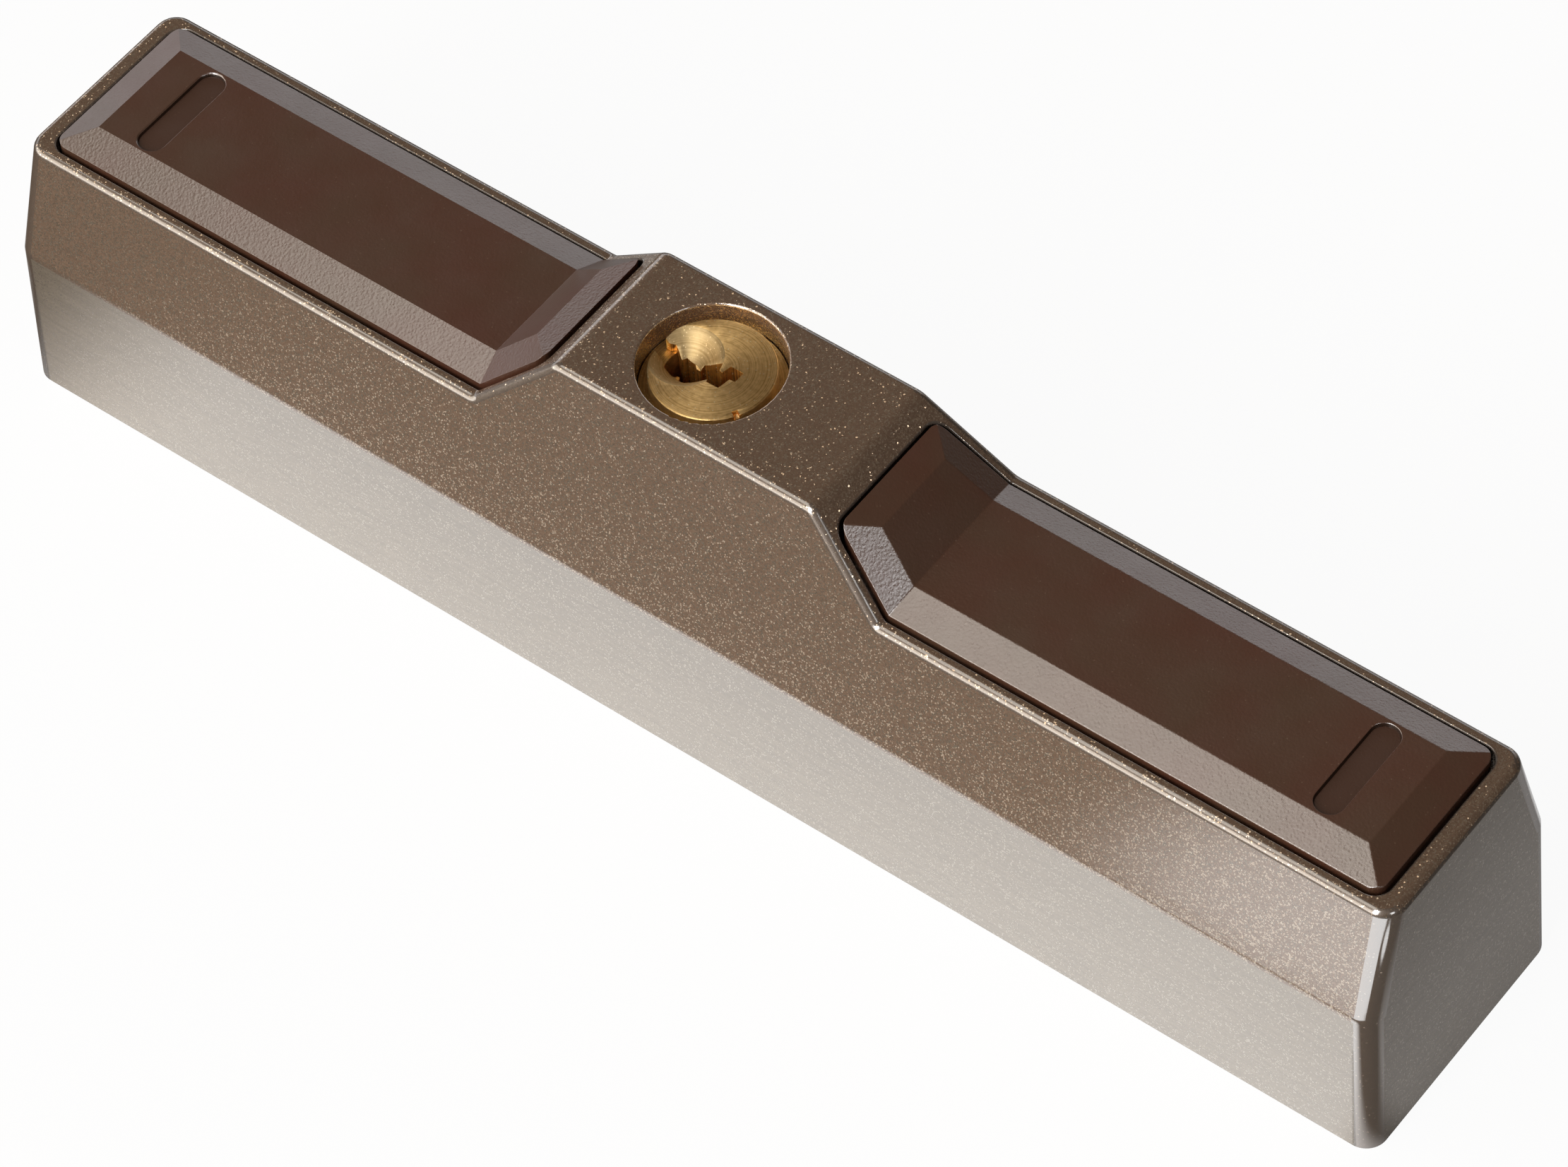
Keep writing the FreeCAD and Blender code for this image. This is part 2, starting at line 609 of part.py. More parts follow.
def retainer_outline(gap):
    """Plan corners of the retainer plate made larger by gap."""
    x0, x1 = RETAINER_LEFT - gap, RETAINER_RIGHT + gap
    half = RETAINER_HALF_WIDTH + gap
    return [(x0, -half), (x1, -half), (x1, half), (x0, half)]


def is_key_hole_edge(edge):
    """True for the upper edge of the key hole."""
    box = edge.BoundBox
    return box.ZMin > HUMP_HEIGHT - TOUCH and box.XMax < CYLINDER_X + KEY_HOLE_RADIUS + TOUCH


def make_housing():
    """Die-cast case: faceted shell with posts, ribs, pockets, windows and the cylinder bore."""
    case = case_outer()
    pocket = cover_pocket()
    case = case.cut([pocket, mirrored(pocket)])
    case = case.cut(drum(KEY_HOLE_RADIUS, CYLINDER_X, 0, PIN_BLOCK_TOP, ABOVE_ALL))
    case = case.makeFillet(MOUTH_RADIUS, [e for e in case.Edges if is_key_hole_edge(e)])
    hollow = wing_hollow()
    case = case.cut([channel(), hollow, mirrored(hollow)])
    inside = []
    for x in POST_PLACES:
        inside += post(x) + post(-x)
    for x in (BOLT_X, -BOLT_X):
        inside += bolt_ribs(x)
    for x, y in screw_spots():
        inside += screw_boss(x, y)
    case = fused([case] + inside)
    cuts = [cylinder_room(), bolt_window(BOLT_X), bolt_window(-BOLT_X)]
    cuts.append(upright(retainer_outline(PLATE_GAP), CHANNEL_TOP - OVERCUT, SHELL_BOTTOM))
    for x in POST_PLACES:
        for side in (-1, 1):
            cuts.append(drum(MOUNT_HOLE_RADIUS, side * x, 0, 0.0, WING_HEIGHT))
            cuts.append(drum(WELL_RADIUS, side * x, 0, WELL_SEAT_HEIGHT, WING_HEIGHT))
    for x in HOOK_PLACES:
        for side in (-1, 1):
            cuts.append(hook_slot(x, side, HOOK_CLEARANCE))
            cuts.append(mirrored(hook_slot(x, side, HOOK_CLEARANCE)))
    thread = SCREW_RADIUS + THREAD_CLEARANCE
    for x, y in screw_spots():
        cuts.append(drum(thread, x, y, 0.0, SCREW_LENGTH + HOLE_SPARE))
    thread = RETAINER_SCREW_RADIUS + THREAD_CLEARANCE
    for x, y in retainer_spots():
        cuts.append(drum(thread, x, y, CHANNEL_TOP, CHANNEL_TOP + RETAINER_SCREW_LENGTH + HOLE_SPARE))
    return case.cut(cuts)


def make_base_plate():
    """Steel plate that closes the underside, flush with the case's foot."""
    half_x = HALF_LENGTH - END_WALL - PLATE_GAP
    half_y = half_width(PLATE_TOP) - WALL - PLATE_GAP
    corners = [(-half_x, -half_y), (half_x, -half_y), (half_x, half_y), (-half_x, half_y)]
    plate = upright(corners, 0.0, PLATE_TOP, [PLATE_CORNER_RADIUS] * 4)
    cuts = []
    for x in POST_PLACES:
        for side in (-1, 1):
            cuts.append(drum(MOUNT_HOLE_RADIUS, side * x, 0, -OVERCUT, PLATE_TOP + OVERCUT))
    for x, y in screw_spots():
        cuts.append(countersink(x, y, 0.0, THREAD_CLEARANCE))
    return plate.cut(cuts)


def countersink(x, y, z, grow):
    """Countersunk screw form with its head face at height z, made larger by grow."""
    head = Part.makeCone(
        SCREW_HEAD_RADIUS + grow, SCREW_RADIUS + grow, SCREW_HEAD_DEPTH, Vector(x, y, z)
    )
    return head.fuse(drum(SCREW_RADIUS + grow, x, y, z, z + SCREW_LENGTH)).removeSplitter()


def make_base_screws():
    """Four countersunk screws with a cross recess."""
    screws = []
    for x, y in screw_spots():
        arm, half = RECESS_LENGTH / 2, RECESS_WIDTH / 2
        recess = [block(x - arm, x + arm, y - half, y + half, -OVERCUT, RECESS_DEPTH)]
        recess.append(block(x - half, x + half, y - arm, y + arm, -OVERCUT, RECESS_DEPTH))
        screws.append(countersink(x, y, 0.0, 0.0).cut(recess))
    return Part.makeCompound(screws)


# Key cylinder

def pin_heights():
    """Heights of the pin chambers, top one first."""
    return [SHELL_FACE - FIRST_PIN_DEPTH - i * PIN_PITCH for i in range(PIN_COUNT)]


def lying_pin(radius, start, end, z):
    """Cylinder that lies along X beside the cylinder axis."""
    return Part.makeCylinder(
        radius, end - start, Vector(CYLINDER_X + start, 0, z), Vector(1, 0, 0)
    )


def make_cylinder_shell():
    """Brass shell with a round barrel and a block for the pin chambers."""
    barrel = drum(SHELL_RADIUS, CYLINDER_X, 0, SHELL_BOTTOM, SHELL_FACE)
    reach = PIN_BLOCK_REACH
    pin_block = block(
        CYLINDER_X, CYLINDER_X + reach, -PIN_BLOCK_HALF_WIDTH, PIN_BLOCK_HALF_WIDTH,
        SHELL_BOTTOM, PIN_BLOCK_TOP,
    )
    shell = fused([barrel, pin_block])
    room_top = CIRCLIP_BOTTOM + CIRCLIP_THICKNESS + CIRCLIP_PLAY
    cuts = [drum(PLUG_RADIUS + PLUG_CLEARANCE, CYLINDER_X, 0, 0, HUMP_HEIGHT)]
    cuts.append(drum(CIRCLIP_RADIUS + ROOM_CLEARANCE, CYLINDER_X, 0, 0, room_top))
    for z in pin_heights():
        cuts.append(lying_pin(PIN_RADIUS + PIN_CLEARANCE, PLUG_RADIUS, reach + OVERCUT, z))
    cuts.append(chamber_cap_form(PIN_CLEARANCE))
    return shell.cut(cuts)


def chamber_cap_form(grow):
    """Strip let into the pin block's outer face over the chambers."""
    half = PIN_RADIUS + CHAMBER_CAP_LAP + grow
    low = pin_heights()[-1] - half
    high = pin_heights()[0] + half
    outer = CYLINDER_X + PIN_BLOCK_REACH
    return block(outer - CHAMBER_CAP_THICKNESS - grow, outer, -half, half, low, high)


def make_plug():
    """Brass plug with its face disc, keyway, lead-in dish, pin holes, neck and square tail."""
    x = CYLINDER_X
    lip_bottom = SHELL_BOTTOM + PLUG_END_PLAY
    face_bottom = PLUG_FACE - PLUG_FACE_THICKNESS
    half_tail = TAIL_ACROSS / 2
    disc = drum(PLUG_FACE_RADIUS, x, 0, face_bottom, PLUG_FACE)
    rim = [e for e in disc.Edges if e.BoundBox.ZMin > PLUG_FACE - TOUCH]
    plug = fused([
        disc.makeChamfer(PLUG_EDGE_BREAK, rim),
        drum(PLUG_RADIUS, x, 0, lip_bottom, PLUG_FACE - PLUG_FACE_THICKNESS / 2),
        drum(NECK_RADIUS, x, 0, SLIDE_TOP + LIFT_CLEARANCE, lip_bottom),
        block(x - half_tail, x + half_tail, -half_tail, half_tail, TAIL_BOTTOM, CHANNEL_TOP),
    ])
    low = CIRCLIP_BOTTOM - CIRCLIP_PLAY
    high = CIRCLIP_BOTTOM + CIRCLIP_THICKNESS + CIRCLIP_PLAY
    groove = drum(PLUG_RADIUS + OVERCUT, x, 0, low, high).cut(drum(GROOVE_RADIUS, x, 0, low, high))
    cuts = [groove, keyway_cutter(), lead_in_dish(), index_notch()]
    for z in pin_heights():
        cuts.append(lying_pin(PIN_RADIUS + PIN_CLEARANCE, PIN_RADIUS, PLUG_RADIUS + OVERCUT, z))
    return plug.cut(cuts)


def keyway_cutter():
    """Keyway: the outline is taken from the plug's axis."""
    outline = [(CYLINDER_X + u, v) for u, v in KEYWAY]
    return upright(outline, SHELL_BOTTOM + KEYWAY_END_WALL, PLUG_FACE + OVERCUT)


def lead_in_dish():
    """Eccentric cone that guides the key in."""
    centre = Vector(CYLINDER_X + COUNTERSINK_X, COUNTERSINK_Y, PLUG_FACE - COUNTERSINK_DEPTH)
    bottom_radius = COUNTERSINK_RADIUS - COUNTERSINK_DEPTH
    return Part.makeCone(
        bottom_radius, COUNTERSINK_RADIUS + OVERCUT, COUNTERSINK_DEPTH + OVERCUT, centre
    )


def index_notch():
    """Small notch across the plug's rim."""
    half = INDEX_SIZE / 2
    reach = PLUG_FACE_RADIUS
    notch = block(reach - INDEX_SIZE, reach + OVERCUT, -half, half, PLUG_FACE - INDEX_SIZE, ABOVE_ALL)
    notch.rotate(Vector(0, 0, 0), Vector(0, 0, 1), INDEX_ANGLE)
    notch.translate(Vector(CYLINDER_X, 0, 0))
    return notch


def make_key_pins():
    """Bottom pins, standing at the shear line as they do with the key in."""
    pins = []
    for z in pin_heights():
        pin = lying_pin(PIN_RADIUS, KEY_PIN_INNER, KEY_PIN_OUTER, z)
        inner = CYLINDER_X + KEY_PIN_INNER + TOUCH
        pins.append(pin.makeChamfer(PIN_TIP, [e for e in pin.Edges if e.BoundBox.XMax < inner]))
    return Part.makeCompound(pins)


def make_driver_pins():
    """Driver pins in the shell, just outside the shear line."""
    end = DRIVER_PIN_INNER + DRIVER_PIN_LENGTH
    return Part.makeCompound([lying_pin(PIN_RADIUS, DRIVER_PIN_INNER, end, z) for z in pin_heights()])


def make_pin_springs():
    """Coil springs behind the driver pins."""
    start = DRIVER_PIN_INNER + DRIVER_PIN_LENGTH + SPRING_END_GAP
    end = PIN_BLOCK_REACH - CHAMBER_CAP_THICKNESS - SPRING_END_GAP
    radius = PIN_RADIUS - SPRING_WIRE / 2 - PIN_CLEARANCE
    rise = end - start - SPRING_WIRE
    helix = Part.makeHelix(rise / SPRING_TURNS, rise, radius)
    half = SPRING_WIRE / 2
    corners = [(radius - half, -half), (radius + half, -half), (radius + half, half), (radius - half, half)]
    points = [Vector(a, 0, b) for a, b in corners]
    wire = Part.makePolygon(points + [points[0]])
    coil = Part.Wire(helix.Edges).makePipeShell([wire], True, True)
    springs = []
    for z in pin_heights():
        spring = coil.copy()
        spring.rotate(Vector(0, 0, 0), Vector(0, 1, 0), 90)
        spring.translate(Vector(CYLINDER_X + start + half, 0, z))
        springs.append(spring)
    return Part.makeCompound(springs)


def make_circlip():
    """Open ring in the plug's groove that keeps the plug in its shell."""
    low = CIRCLIP_BOTTOM
    high = low + CIRCLIP_THICKNESS
    half = CIRCLIP_MOUTH / 2
    ring = drum(CIRCLIP_RADIUS, CYLINDER_X, 0, low, high)
    ring = ring.cut(drum(GROOVE_RADIUS + CIRCLIP_PLAY, CYLINDER_X, 0, low, high))
    gap = block(CYLINDER_X - half, CYLINDER_X + half, 0, CIRCLIP_RADIUS + OVERCUT, low, high)
    return ring.cut(gap)


def make_retainer_plate():
    """Steel plate under the cylinder that keeps it in its bore."""
    corners = [RETAINER_CORNER_RADIUS] * 4
    plate = upright(retainer_outline(0.0), CHANNEL_TOP, SHELL_BOTTOM, corners)
    cuts = [drum(NECK_RADIUS + NECK_CLEARANCE, CYLINDER_X, 0, 0, HUMP_HEIGHT)]
    for x, y in retainer_spots():
        cuts.append(retainer_screw(x, y, THREAD_CLEARANCE))
    return plate.cut(cuts)


def retainer_spots():
    """Centres of the retainer plate's two screws, in opposite corners."""
    y = RETAINER_HALF_WIDTH - RETAINER_SCREW_INSET
    return [(RETAINER_LEFT + RETAINER_SCREW_INSET, -y), (RETAINER_RIGHT - RETAINER_SCREW_INSET, y)]


def retainer_screw(x, y, grow):
    """Small countersunk screw, head down and flush with the plate."""
    head = Part.makeCone(
        RETAINER_HEAD_RADIUS + grow, RETAINER_SCREW_RADIUS + grow, RETAINER_HEAD_DEPTH,
        Vector(x, y, CHANNEL_TOP),
    )
    shank = drum(RETAINER_SCREW_RADIUS + grow, x, y, CHANNEL_TOP, CHANNEL_TOP + RETAINER_SCREW_LENGTH)
    return head.fuse(shank).removeSplitter()


def make_retainer_screws():
    """Two slotted screws."""
    screws = []
    long_half, half = RETAINER_HEAD_RADIUS + OVERCUT, SLOT_WIDTH / 2
    low, high = CHANNEL_TOP - OVERCUT, CHANNEL_TOP + SLOT_DEPTH
    for x, y in retainer_spots():
        slot = block(x - long_half, x + long_half, y - half, y + half, low, high)
        screws.append(retainer_screw(x, y, 0.0).cut(slot))
    return Part.makeCompound(screws)


# Drive

def involute_point(base_radius, radius, start_angle, side):
    """Point on an involute flank at this radius."""
    roll = math.sqrt(max(0.0, (radius / base_radius) ** 2 - 1.0))
    angle = start_angle + side * (roll - math.atan(roll))
    return Vector(radius * math.cos(angle), radius * math.sin(angle), 0)


def gear_tooth(centre_angle):
    """Outline of one pinion tooth, as a face about the origin."""
    pressure = math.radians(PRESSURE_ANGLE)
    base_radius = PITCH_RADIUS * math.cos(pressure)
    tip = PITCH_RADIUS + GEAR_ADDENDUM
    root = PITCH_RADIUS - GEAR_DEDENDUM - GEAR_MODULE / 3
    half_tooth = (math.pi * GEAR_MODULE / 2 - BACKLASH) / 2 / PITCH_RADIUS
    spread = half_tooth + math.tan(pressure) - pressure
    middle_radius = (base_radius + tip) / 2
    flanks = []
    for side in (-1, 1):
        start_angle = centre_angle + side * spread
        low = involute_point(base_radius, base_radius, start_angle, -side)
        middle = involute_point(base_radius, middle_radius, start_angle, -side)
        high = involute_point(base_radius, tip, start_angle, -side)
        flanks.append((low * (root / base_radius), low, middle, high))
    near, far = flanks
    crown = Vector(tip * math.cos(centre_angle), tip * math.sin(centre_angle), 0)
    edges = [
        Part.makeLine(near[0], near[1]),
        Part.Arc(near[1], near[2], near[3]).toShape(),
        Part.Arc(near[3], crown, far[3]).toShape(),
        Part.Arc(far[3], far[2], far[1]).toShape(),
        Part.makeLine(far[1], far[0]),
        Part.makeLine(far[0], near[0]),
    ]
    return Part.Face(Part.Wire(edges))


def sector_teeth():
    """Angles, in degrees, of the pinion's teeth at rest, one of them straight towards the rack."""
    step = 360.0 / GEAR_TEETH
    first = RACK_DIRECTION - math.floor((RACK_DIRECTION - SECTOR_FIRST) / step) * step
    count = int((SECTOR_LAST - first) / step) + 1
    return [first + i * step for i in range(count)]


def make_pinion():
    """Toothed quadrant on a hub that stands on the base plate and takes the plug's tail."""
    root = PITCH_RADIUS - GEAR_DEDENDUM
    angles = sector_teeth()
    step = 360.0 / GEAR_TEETH
    start = angles[0] - step / 2
    span = angles[-1] + step / 2 - start
    sector = Part.makeCylinder(root, SLIDE_THICKNESS, Vector(0, 0, 0), Vector(0, 0, 1), span)
    sector.rotate(Vector(0, 0, 0), Vector(0, 0, 1), start)
    solids = [drum(HUB_RADIUS, 0, 0, 0, SLIDE_THICKNESS), sector]
    for angle in angles:
        solids.append(gear_tooth(math.radians(angle)).extrude(Vector(0, 0, SLIDE_THICKNESS)))
    wheel = fused(solids)
    wheel.translate(Vector(CYLINDER_X, 0, SLIDE_BOTTOM))
    hub = drum(HUB_RADIUS, CYLINDER_X, 0, PLATE_TOP + LIFT_CLEARANCE, SLIDE_BOTTOM)
    half = TAIL_ACROSS / 2 + TAIL_CLEARANCE
    low, high = TAIL_BOTTOM - SOCKET_SPARE, SLIDE_TOP + OVERCUT
    socket = block(CYLINDER_X - half, CYLINDER_X + half, -half, half, low, high)
    return fused([wheel, hub]).cut(socket)


def rack_cutter():
    """Window for the pinion with the rack's tooth spaces along one side."""
    z_low, z_high = SLIDE_BOTTOM - OVERCUT, SLIDE_TOP + OVERCUT
    reach = PITCH_RADIUS + GEAR_ADDENDUM + WINDOW_CLEARANCE
    left = CYLINDER_X - THROW - reach
    right = CYLINDER_X + reach
    tip_line = PITCH_RADIUS - RACK_ADDENDUM
    floor_line = PITCH_RADIUS + GEAR_DEDENDUM
    lean = math.tan(math.radians(PRESSURE_ANGLE))
    space_half = (math.pi * GEAR_MODULE / 2) / 2
    pitch = math.pi * GEAR_MODULE
    plain_side = -HUB_RADIUS - WINDOW_CLEARANCE
    window = block(left, right, plain_side, tip_line, z_low, z_high)
    spaces = [window]
    count = int((THROW + 4 * pitch) / pitch)
    for i in range(-1, count):
        middle = CYLINDER_X - i * pitch
        at_tip = space_half + lean * RACK_ADDENDUM
        at_floor = space_half - lean * GEAR_DEDENDUM
        outline = [
            (middle - at_tip, tip_line - TOUCH), (middle + at_tip, tip_line - TOUCH),
            (middle + at_floor, floor_line), (middle - at_floor, floor_line),
        ]
        if left < middle - at_tip and middle + at_tip < right:
            spaces.append(upright(outline, z_low, z_high))
    return spaces


def make_drive_slide():
    """Flat steel slide: a rack in the middle, guide slots round the posts, slanted bolt slots."""
    left = -BOLT_X - THROW - BOLT_PIN_RADIUS - SLIDE_END
    right = BOLT_X + BOLT_PIN_RADIUS + SLIDE_END
    half = SLIDE_HALF_WIDTH
    corners = [(left, -half), (right, -half), (right, half), (left, half)]
    slide = upright(corners, SLIDE_BOTTOM, SLIDE_TOP, [SLIDE_CORNER_RADIUS] * 4)
    z_low, z_high = SLIDE_BOTTOM - OVERCUT, SLIDE_TOP + OVERCUT
    cuts = rack_cutter()
    post_slot = POST_RADIUS + SIDE_CLEARANCE
    pin_slot = BOLT_PIN_RADIUS + PIN_SLOT_CLEARANCE
    for side in (-1, 1):
        for place in POST_PLACES:
            x = side * place
            cuts.append(slot_between((x, 0), (x - THROW, 0), post_slot, z_low, z_high))
        x = side * BOLT_X
        start, end = (x, -PIN_SLOT_HALF), (x - THROW, PIN_SLOT_HALF)
        cuts.append(slot_between(start, end, pin_slot, z_low, z_high))
    return slide.cut(cuts)


def make_bolt(x):
    """Flat steel bolt with a bevelled nose and a blind hole for its pin."""
    half = BOLT_WIDTH / 2
    nose = half_width(BOLT_BOTTOM + BOLT_THICKNESS / 2) - BOLT_RECESS
    tail = -PIN_SLOT_HALF - BOLT_TAIL
    bolt = block(x - half, x + half, tail, nose, BOLT_BOTTOM, BOLT_TOP)
    nose_edges = [e for e in bolt.Edges if e.BoundBox.YMin > nose - TOUCH]
    bolt = bolt.makeChamfer(BOLT_NOSE_BEVEL, nose_edges)
    hole = drum(BOLT_PIN_RADIUS, x, -PIN_SLOT_HALF, BOLT_TOP - BOLT_PIN_DEPTH, BOLT_TOP + OVERCUT)
    return bolt.cut(hole)


def make_bolt_pin(x):
    """Steel pin pressed into a bolt; the slide's slanted slot drives it."""
    return drum(BOLT_PIN_RADIUS, x, -PIN_SLOT_HALF, BOLT_TOP - BOLT_PIN_DEPTH, SLIDE_TOP)


def main():
    """Build every piece and write it."""
    os.makedirs("parts", exist_ok=True)
    cover = make_cover()
    export("housing", make_housing())
    export("cover_right", cover)
    export("cover_left", mirrored(cover))
    export("base_plate", make_base_plate())
    export("base_screws", make_base_screws())
    export("cylinder_shell", make_cylinder_shell())
    export("cylinder_plug", make_plug())
    export("key_pins", make_key_pins())
    export("driver_pins", make_driver_pins())
    export("pin_springs", make_pin_springs())
    export("pin_chamber_cap", chamber_cap_form(0.0))
    export("plug_circlip", make_circlip())
    export("retainer_plate", make_retainer_plate())
    export("retainer_screws", make_retainer_screws())
    export("pinion", make_pinion())
    export("drive_slide", make_drive_slide())
    for name, x in (("left", -BOLT_X), ("right", BOLT_X)):
        export("bolt_" + name, make_bolt(x))
        export("bolt_pin_" + name, make_bolt_pin(x))


main()
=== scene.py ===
"""Dresses the window security lock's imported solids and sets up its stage, light and camera.

The frame's axes are kept: X runs along the case, Y across it towards the bolts, and Z up from
the mounting face. Lengths are in metres; sizes written in millimetres are multiplied by MM.
"""

import json
import logging
import math
from dataclasses import dataclass
from enum import Enum

import bmesh
import bpy
from mathutils import Matrix, Vector

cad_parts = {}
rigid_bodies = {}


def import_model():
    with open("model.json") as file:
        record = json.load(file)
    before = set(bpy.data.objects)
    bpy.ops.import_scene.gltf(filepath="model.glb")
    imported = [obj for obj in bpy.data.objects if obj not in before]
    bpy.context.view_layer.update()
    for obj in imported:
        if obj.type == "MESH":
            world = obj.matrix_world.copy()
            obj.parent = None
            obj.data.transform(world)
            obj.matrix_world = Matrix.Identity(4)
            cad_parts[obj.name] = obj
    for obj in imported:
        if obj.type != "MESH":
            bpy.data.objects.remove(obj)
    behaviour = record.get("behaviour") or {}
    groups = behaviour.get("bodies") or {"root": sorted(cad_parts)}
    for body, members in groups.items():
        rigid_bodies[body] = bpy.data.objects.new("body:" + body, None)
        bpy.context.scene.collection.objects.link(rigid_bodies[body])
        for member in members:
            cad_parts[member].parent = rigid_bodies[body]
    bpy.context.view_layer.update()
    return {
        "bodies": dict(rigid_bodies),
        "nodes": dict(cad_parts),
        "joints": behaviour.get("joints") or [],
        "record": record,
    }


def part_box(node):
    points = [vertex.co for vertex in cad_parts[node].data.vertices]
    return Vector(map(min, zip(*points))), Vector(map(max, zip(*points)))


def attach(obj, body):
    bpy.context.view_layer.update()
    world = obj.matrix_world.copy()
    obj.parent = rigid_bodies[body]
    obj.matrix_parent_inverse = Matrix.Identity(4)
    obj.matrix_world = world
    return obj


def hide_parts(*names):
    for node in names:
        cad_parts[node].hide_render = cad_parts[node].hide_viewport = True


LOG = logging.getLogger("window_lock")
MM = 0.001
WING_HEIGHT = 31.1 * MM
MERGE_GAP = 0.0005 * MM
FLAT_ANGLE = math.radians(0.4)
BIG_FACE_WEIGHT = 80
Colour = tuple[float, float, float]
Pair = tuple[float, float]
Socket = bpy.types.NodeSocket
Material = bpy.types.Material
BodyMesh = bmesh.types.BMesh
Edge = bmesh.types.BMEdge
Face = bmesh.types.BMFace


class Body(Enum):
    """Bodies of the record that the new pieces ride on."""

    CASE = "case"
    PLUG = "plug"


class CoatPart(Enum):
    """Parts of the casting whose coat differs, numbered as the casting's finishes; the walls' coat carries
    a painted sheen and the pockets' painted shade.
    """

    FACET = 0
    RIM = 1
    # lighter coat with a painted sheen, standing for the bright floor reflected in the steep walls
    WALL = 2
    # near-black coat: painted shade in the gap round the covers
    POCKET = 3
    CORNER = 4


class CoverPart(Enum):
    """Parts of a cover, numbered as its finishes; the field's walls carry painted shade."""

    BODY = 0
    FIELD = 1
    FIELD_WALL = 2


class PlugPart(Enum):
    """Parts of the plug, numbered as its finishes."""

    FACE = 0
    DISH = 1
    BORE = 2


class RingCentre(Enum):
    """Axes that the lathe marks of a brass face run round, in millimetres in the frame."""

    PLUG = (-2.95, 0.0)
    DISH = (-5.9, -0.2)


# Shader graphs


class NodeTree:
    """A node tree with short helpers to add and join nodes."""

    def __init__(self, tree: bpy.types.NodeTree) -> None:
        """Hold the node tree of a material or a world."""
        self.tree = tree

    def add(self, kind: str, **settings: object) -> bpy.types.Node:
        """Add a node and set its properties.

        Args:
            kind: Blender's name of the node type.
            settings: Properties of the node, by name.

        Returns:
            The new node.
        """
        node = self.tree.nodes.new(kind)
        for key, value in settings.items():
            setattr(node, key, value)
        return node

    def join(self, source: Socket, target: Socket) -> None:
        """Link one output to one input."""
        self.tree.links.new(source, target)

    def maths(self, operation: str, first: object, second: object) -> Socket:
        """Add a Math node.

        Args:
            operation: Blender's name of the operation.
            first: First value, a number or an output.
            second: Second value, a number or an output.

        Returns:
            The result's output.
        """
        node = self.add("ShaderNodeMath", operation=operation)
        for socket, value in zip(node.inputs, (first, second)):
            if isinstance(value, (int, float)):
                socket.default_value = value
            else:
                self.join(value, socket)
        return node.outputs[0]

    def greatest(self, *values: object) -> Socket:
        """Give the greatest of some values.

        Args:
            values: Numbers or outputs.

        Returns:
            The result's output.
        """
        result = values[0]
        for value in values[1:]:
            result = self.maths("MAXIMUM", result, value)
        return result

    def spread(self, value: Socket, low: float, high: float) -> Socket:
        """Stretch a value from 0 to 1 on to another range.

        Args:
            value: Value to stretch.
            low: Result at 0.
            high: Result at 1.

        Returns:
            The result's output.
        """
        node = self.add("ShaderNodeMapRange")
        node.inputs["To Min"].default_value = low
        node.inputs["To Max"].default_value = high
        self.join(value, node.inputs["Value"])
        return node.outputs["Result"]

    def step(self, value: Socket, start: float, end: float) -> Socket:
        """Rise smoothly from 0 where a value is at the start to 1 where it is at the end.

        Args:
            value: Value to test.
            start: Where the rise begins.
            end: Where it is complete.

        Returns:
            The result's output.
        """
        node = self.add("ShaderNodeMapRange", interpolation_type="SMOOTHSTEP")
        node.inputs["From Min"].default_value = start
        node.inputs["From Max"].default_value = end
        self.join(value, node.inputs["Value"])
        return node.outputs["Result"]

    def blend(self, share: object, first: object, second: object) -> Socket:
        """Mix two colours.

        Args:
            share: Share of the second colour, a number or an output.
            first: First colour, three numbers or an output.
            second: Second colour, three numbers or an output.

        Returns:
            The mixed colour.
        """
        node = self.add("ShaderNodeMix", data_type="RGBA")
        for socket, value in zip((node.inputs[0], node.inputs[6], node.inputs[7]), (share, first, second)):
            if isinstance(value, Socket):
                self.join(value, socket)
            else:
                socket.default_value = (*value, 1.0) if isinstance(value, tuple) else value
        return node.outputs[2]


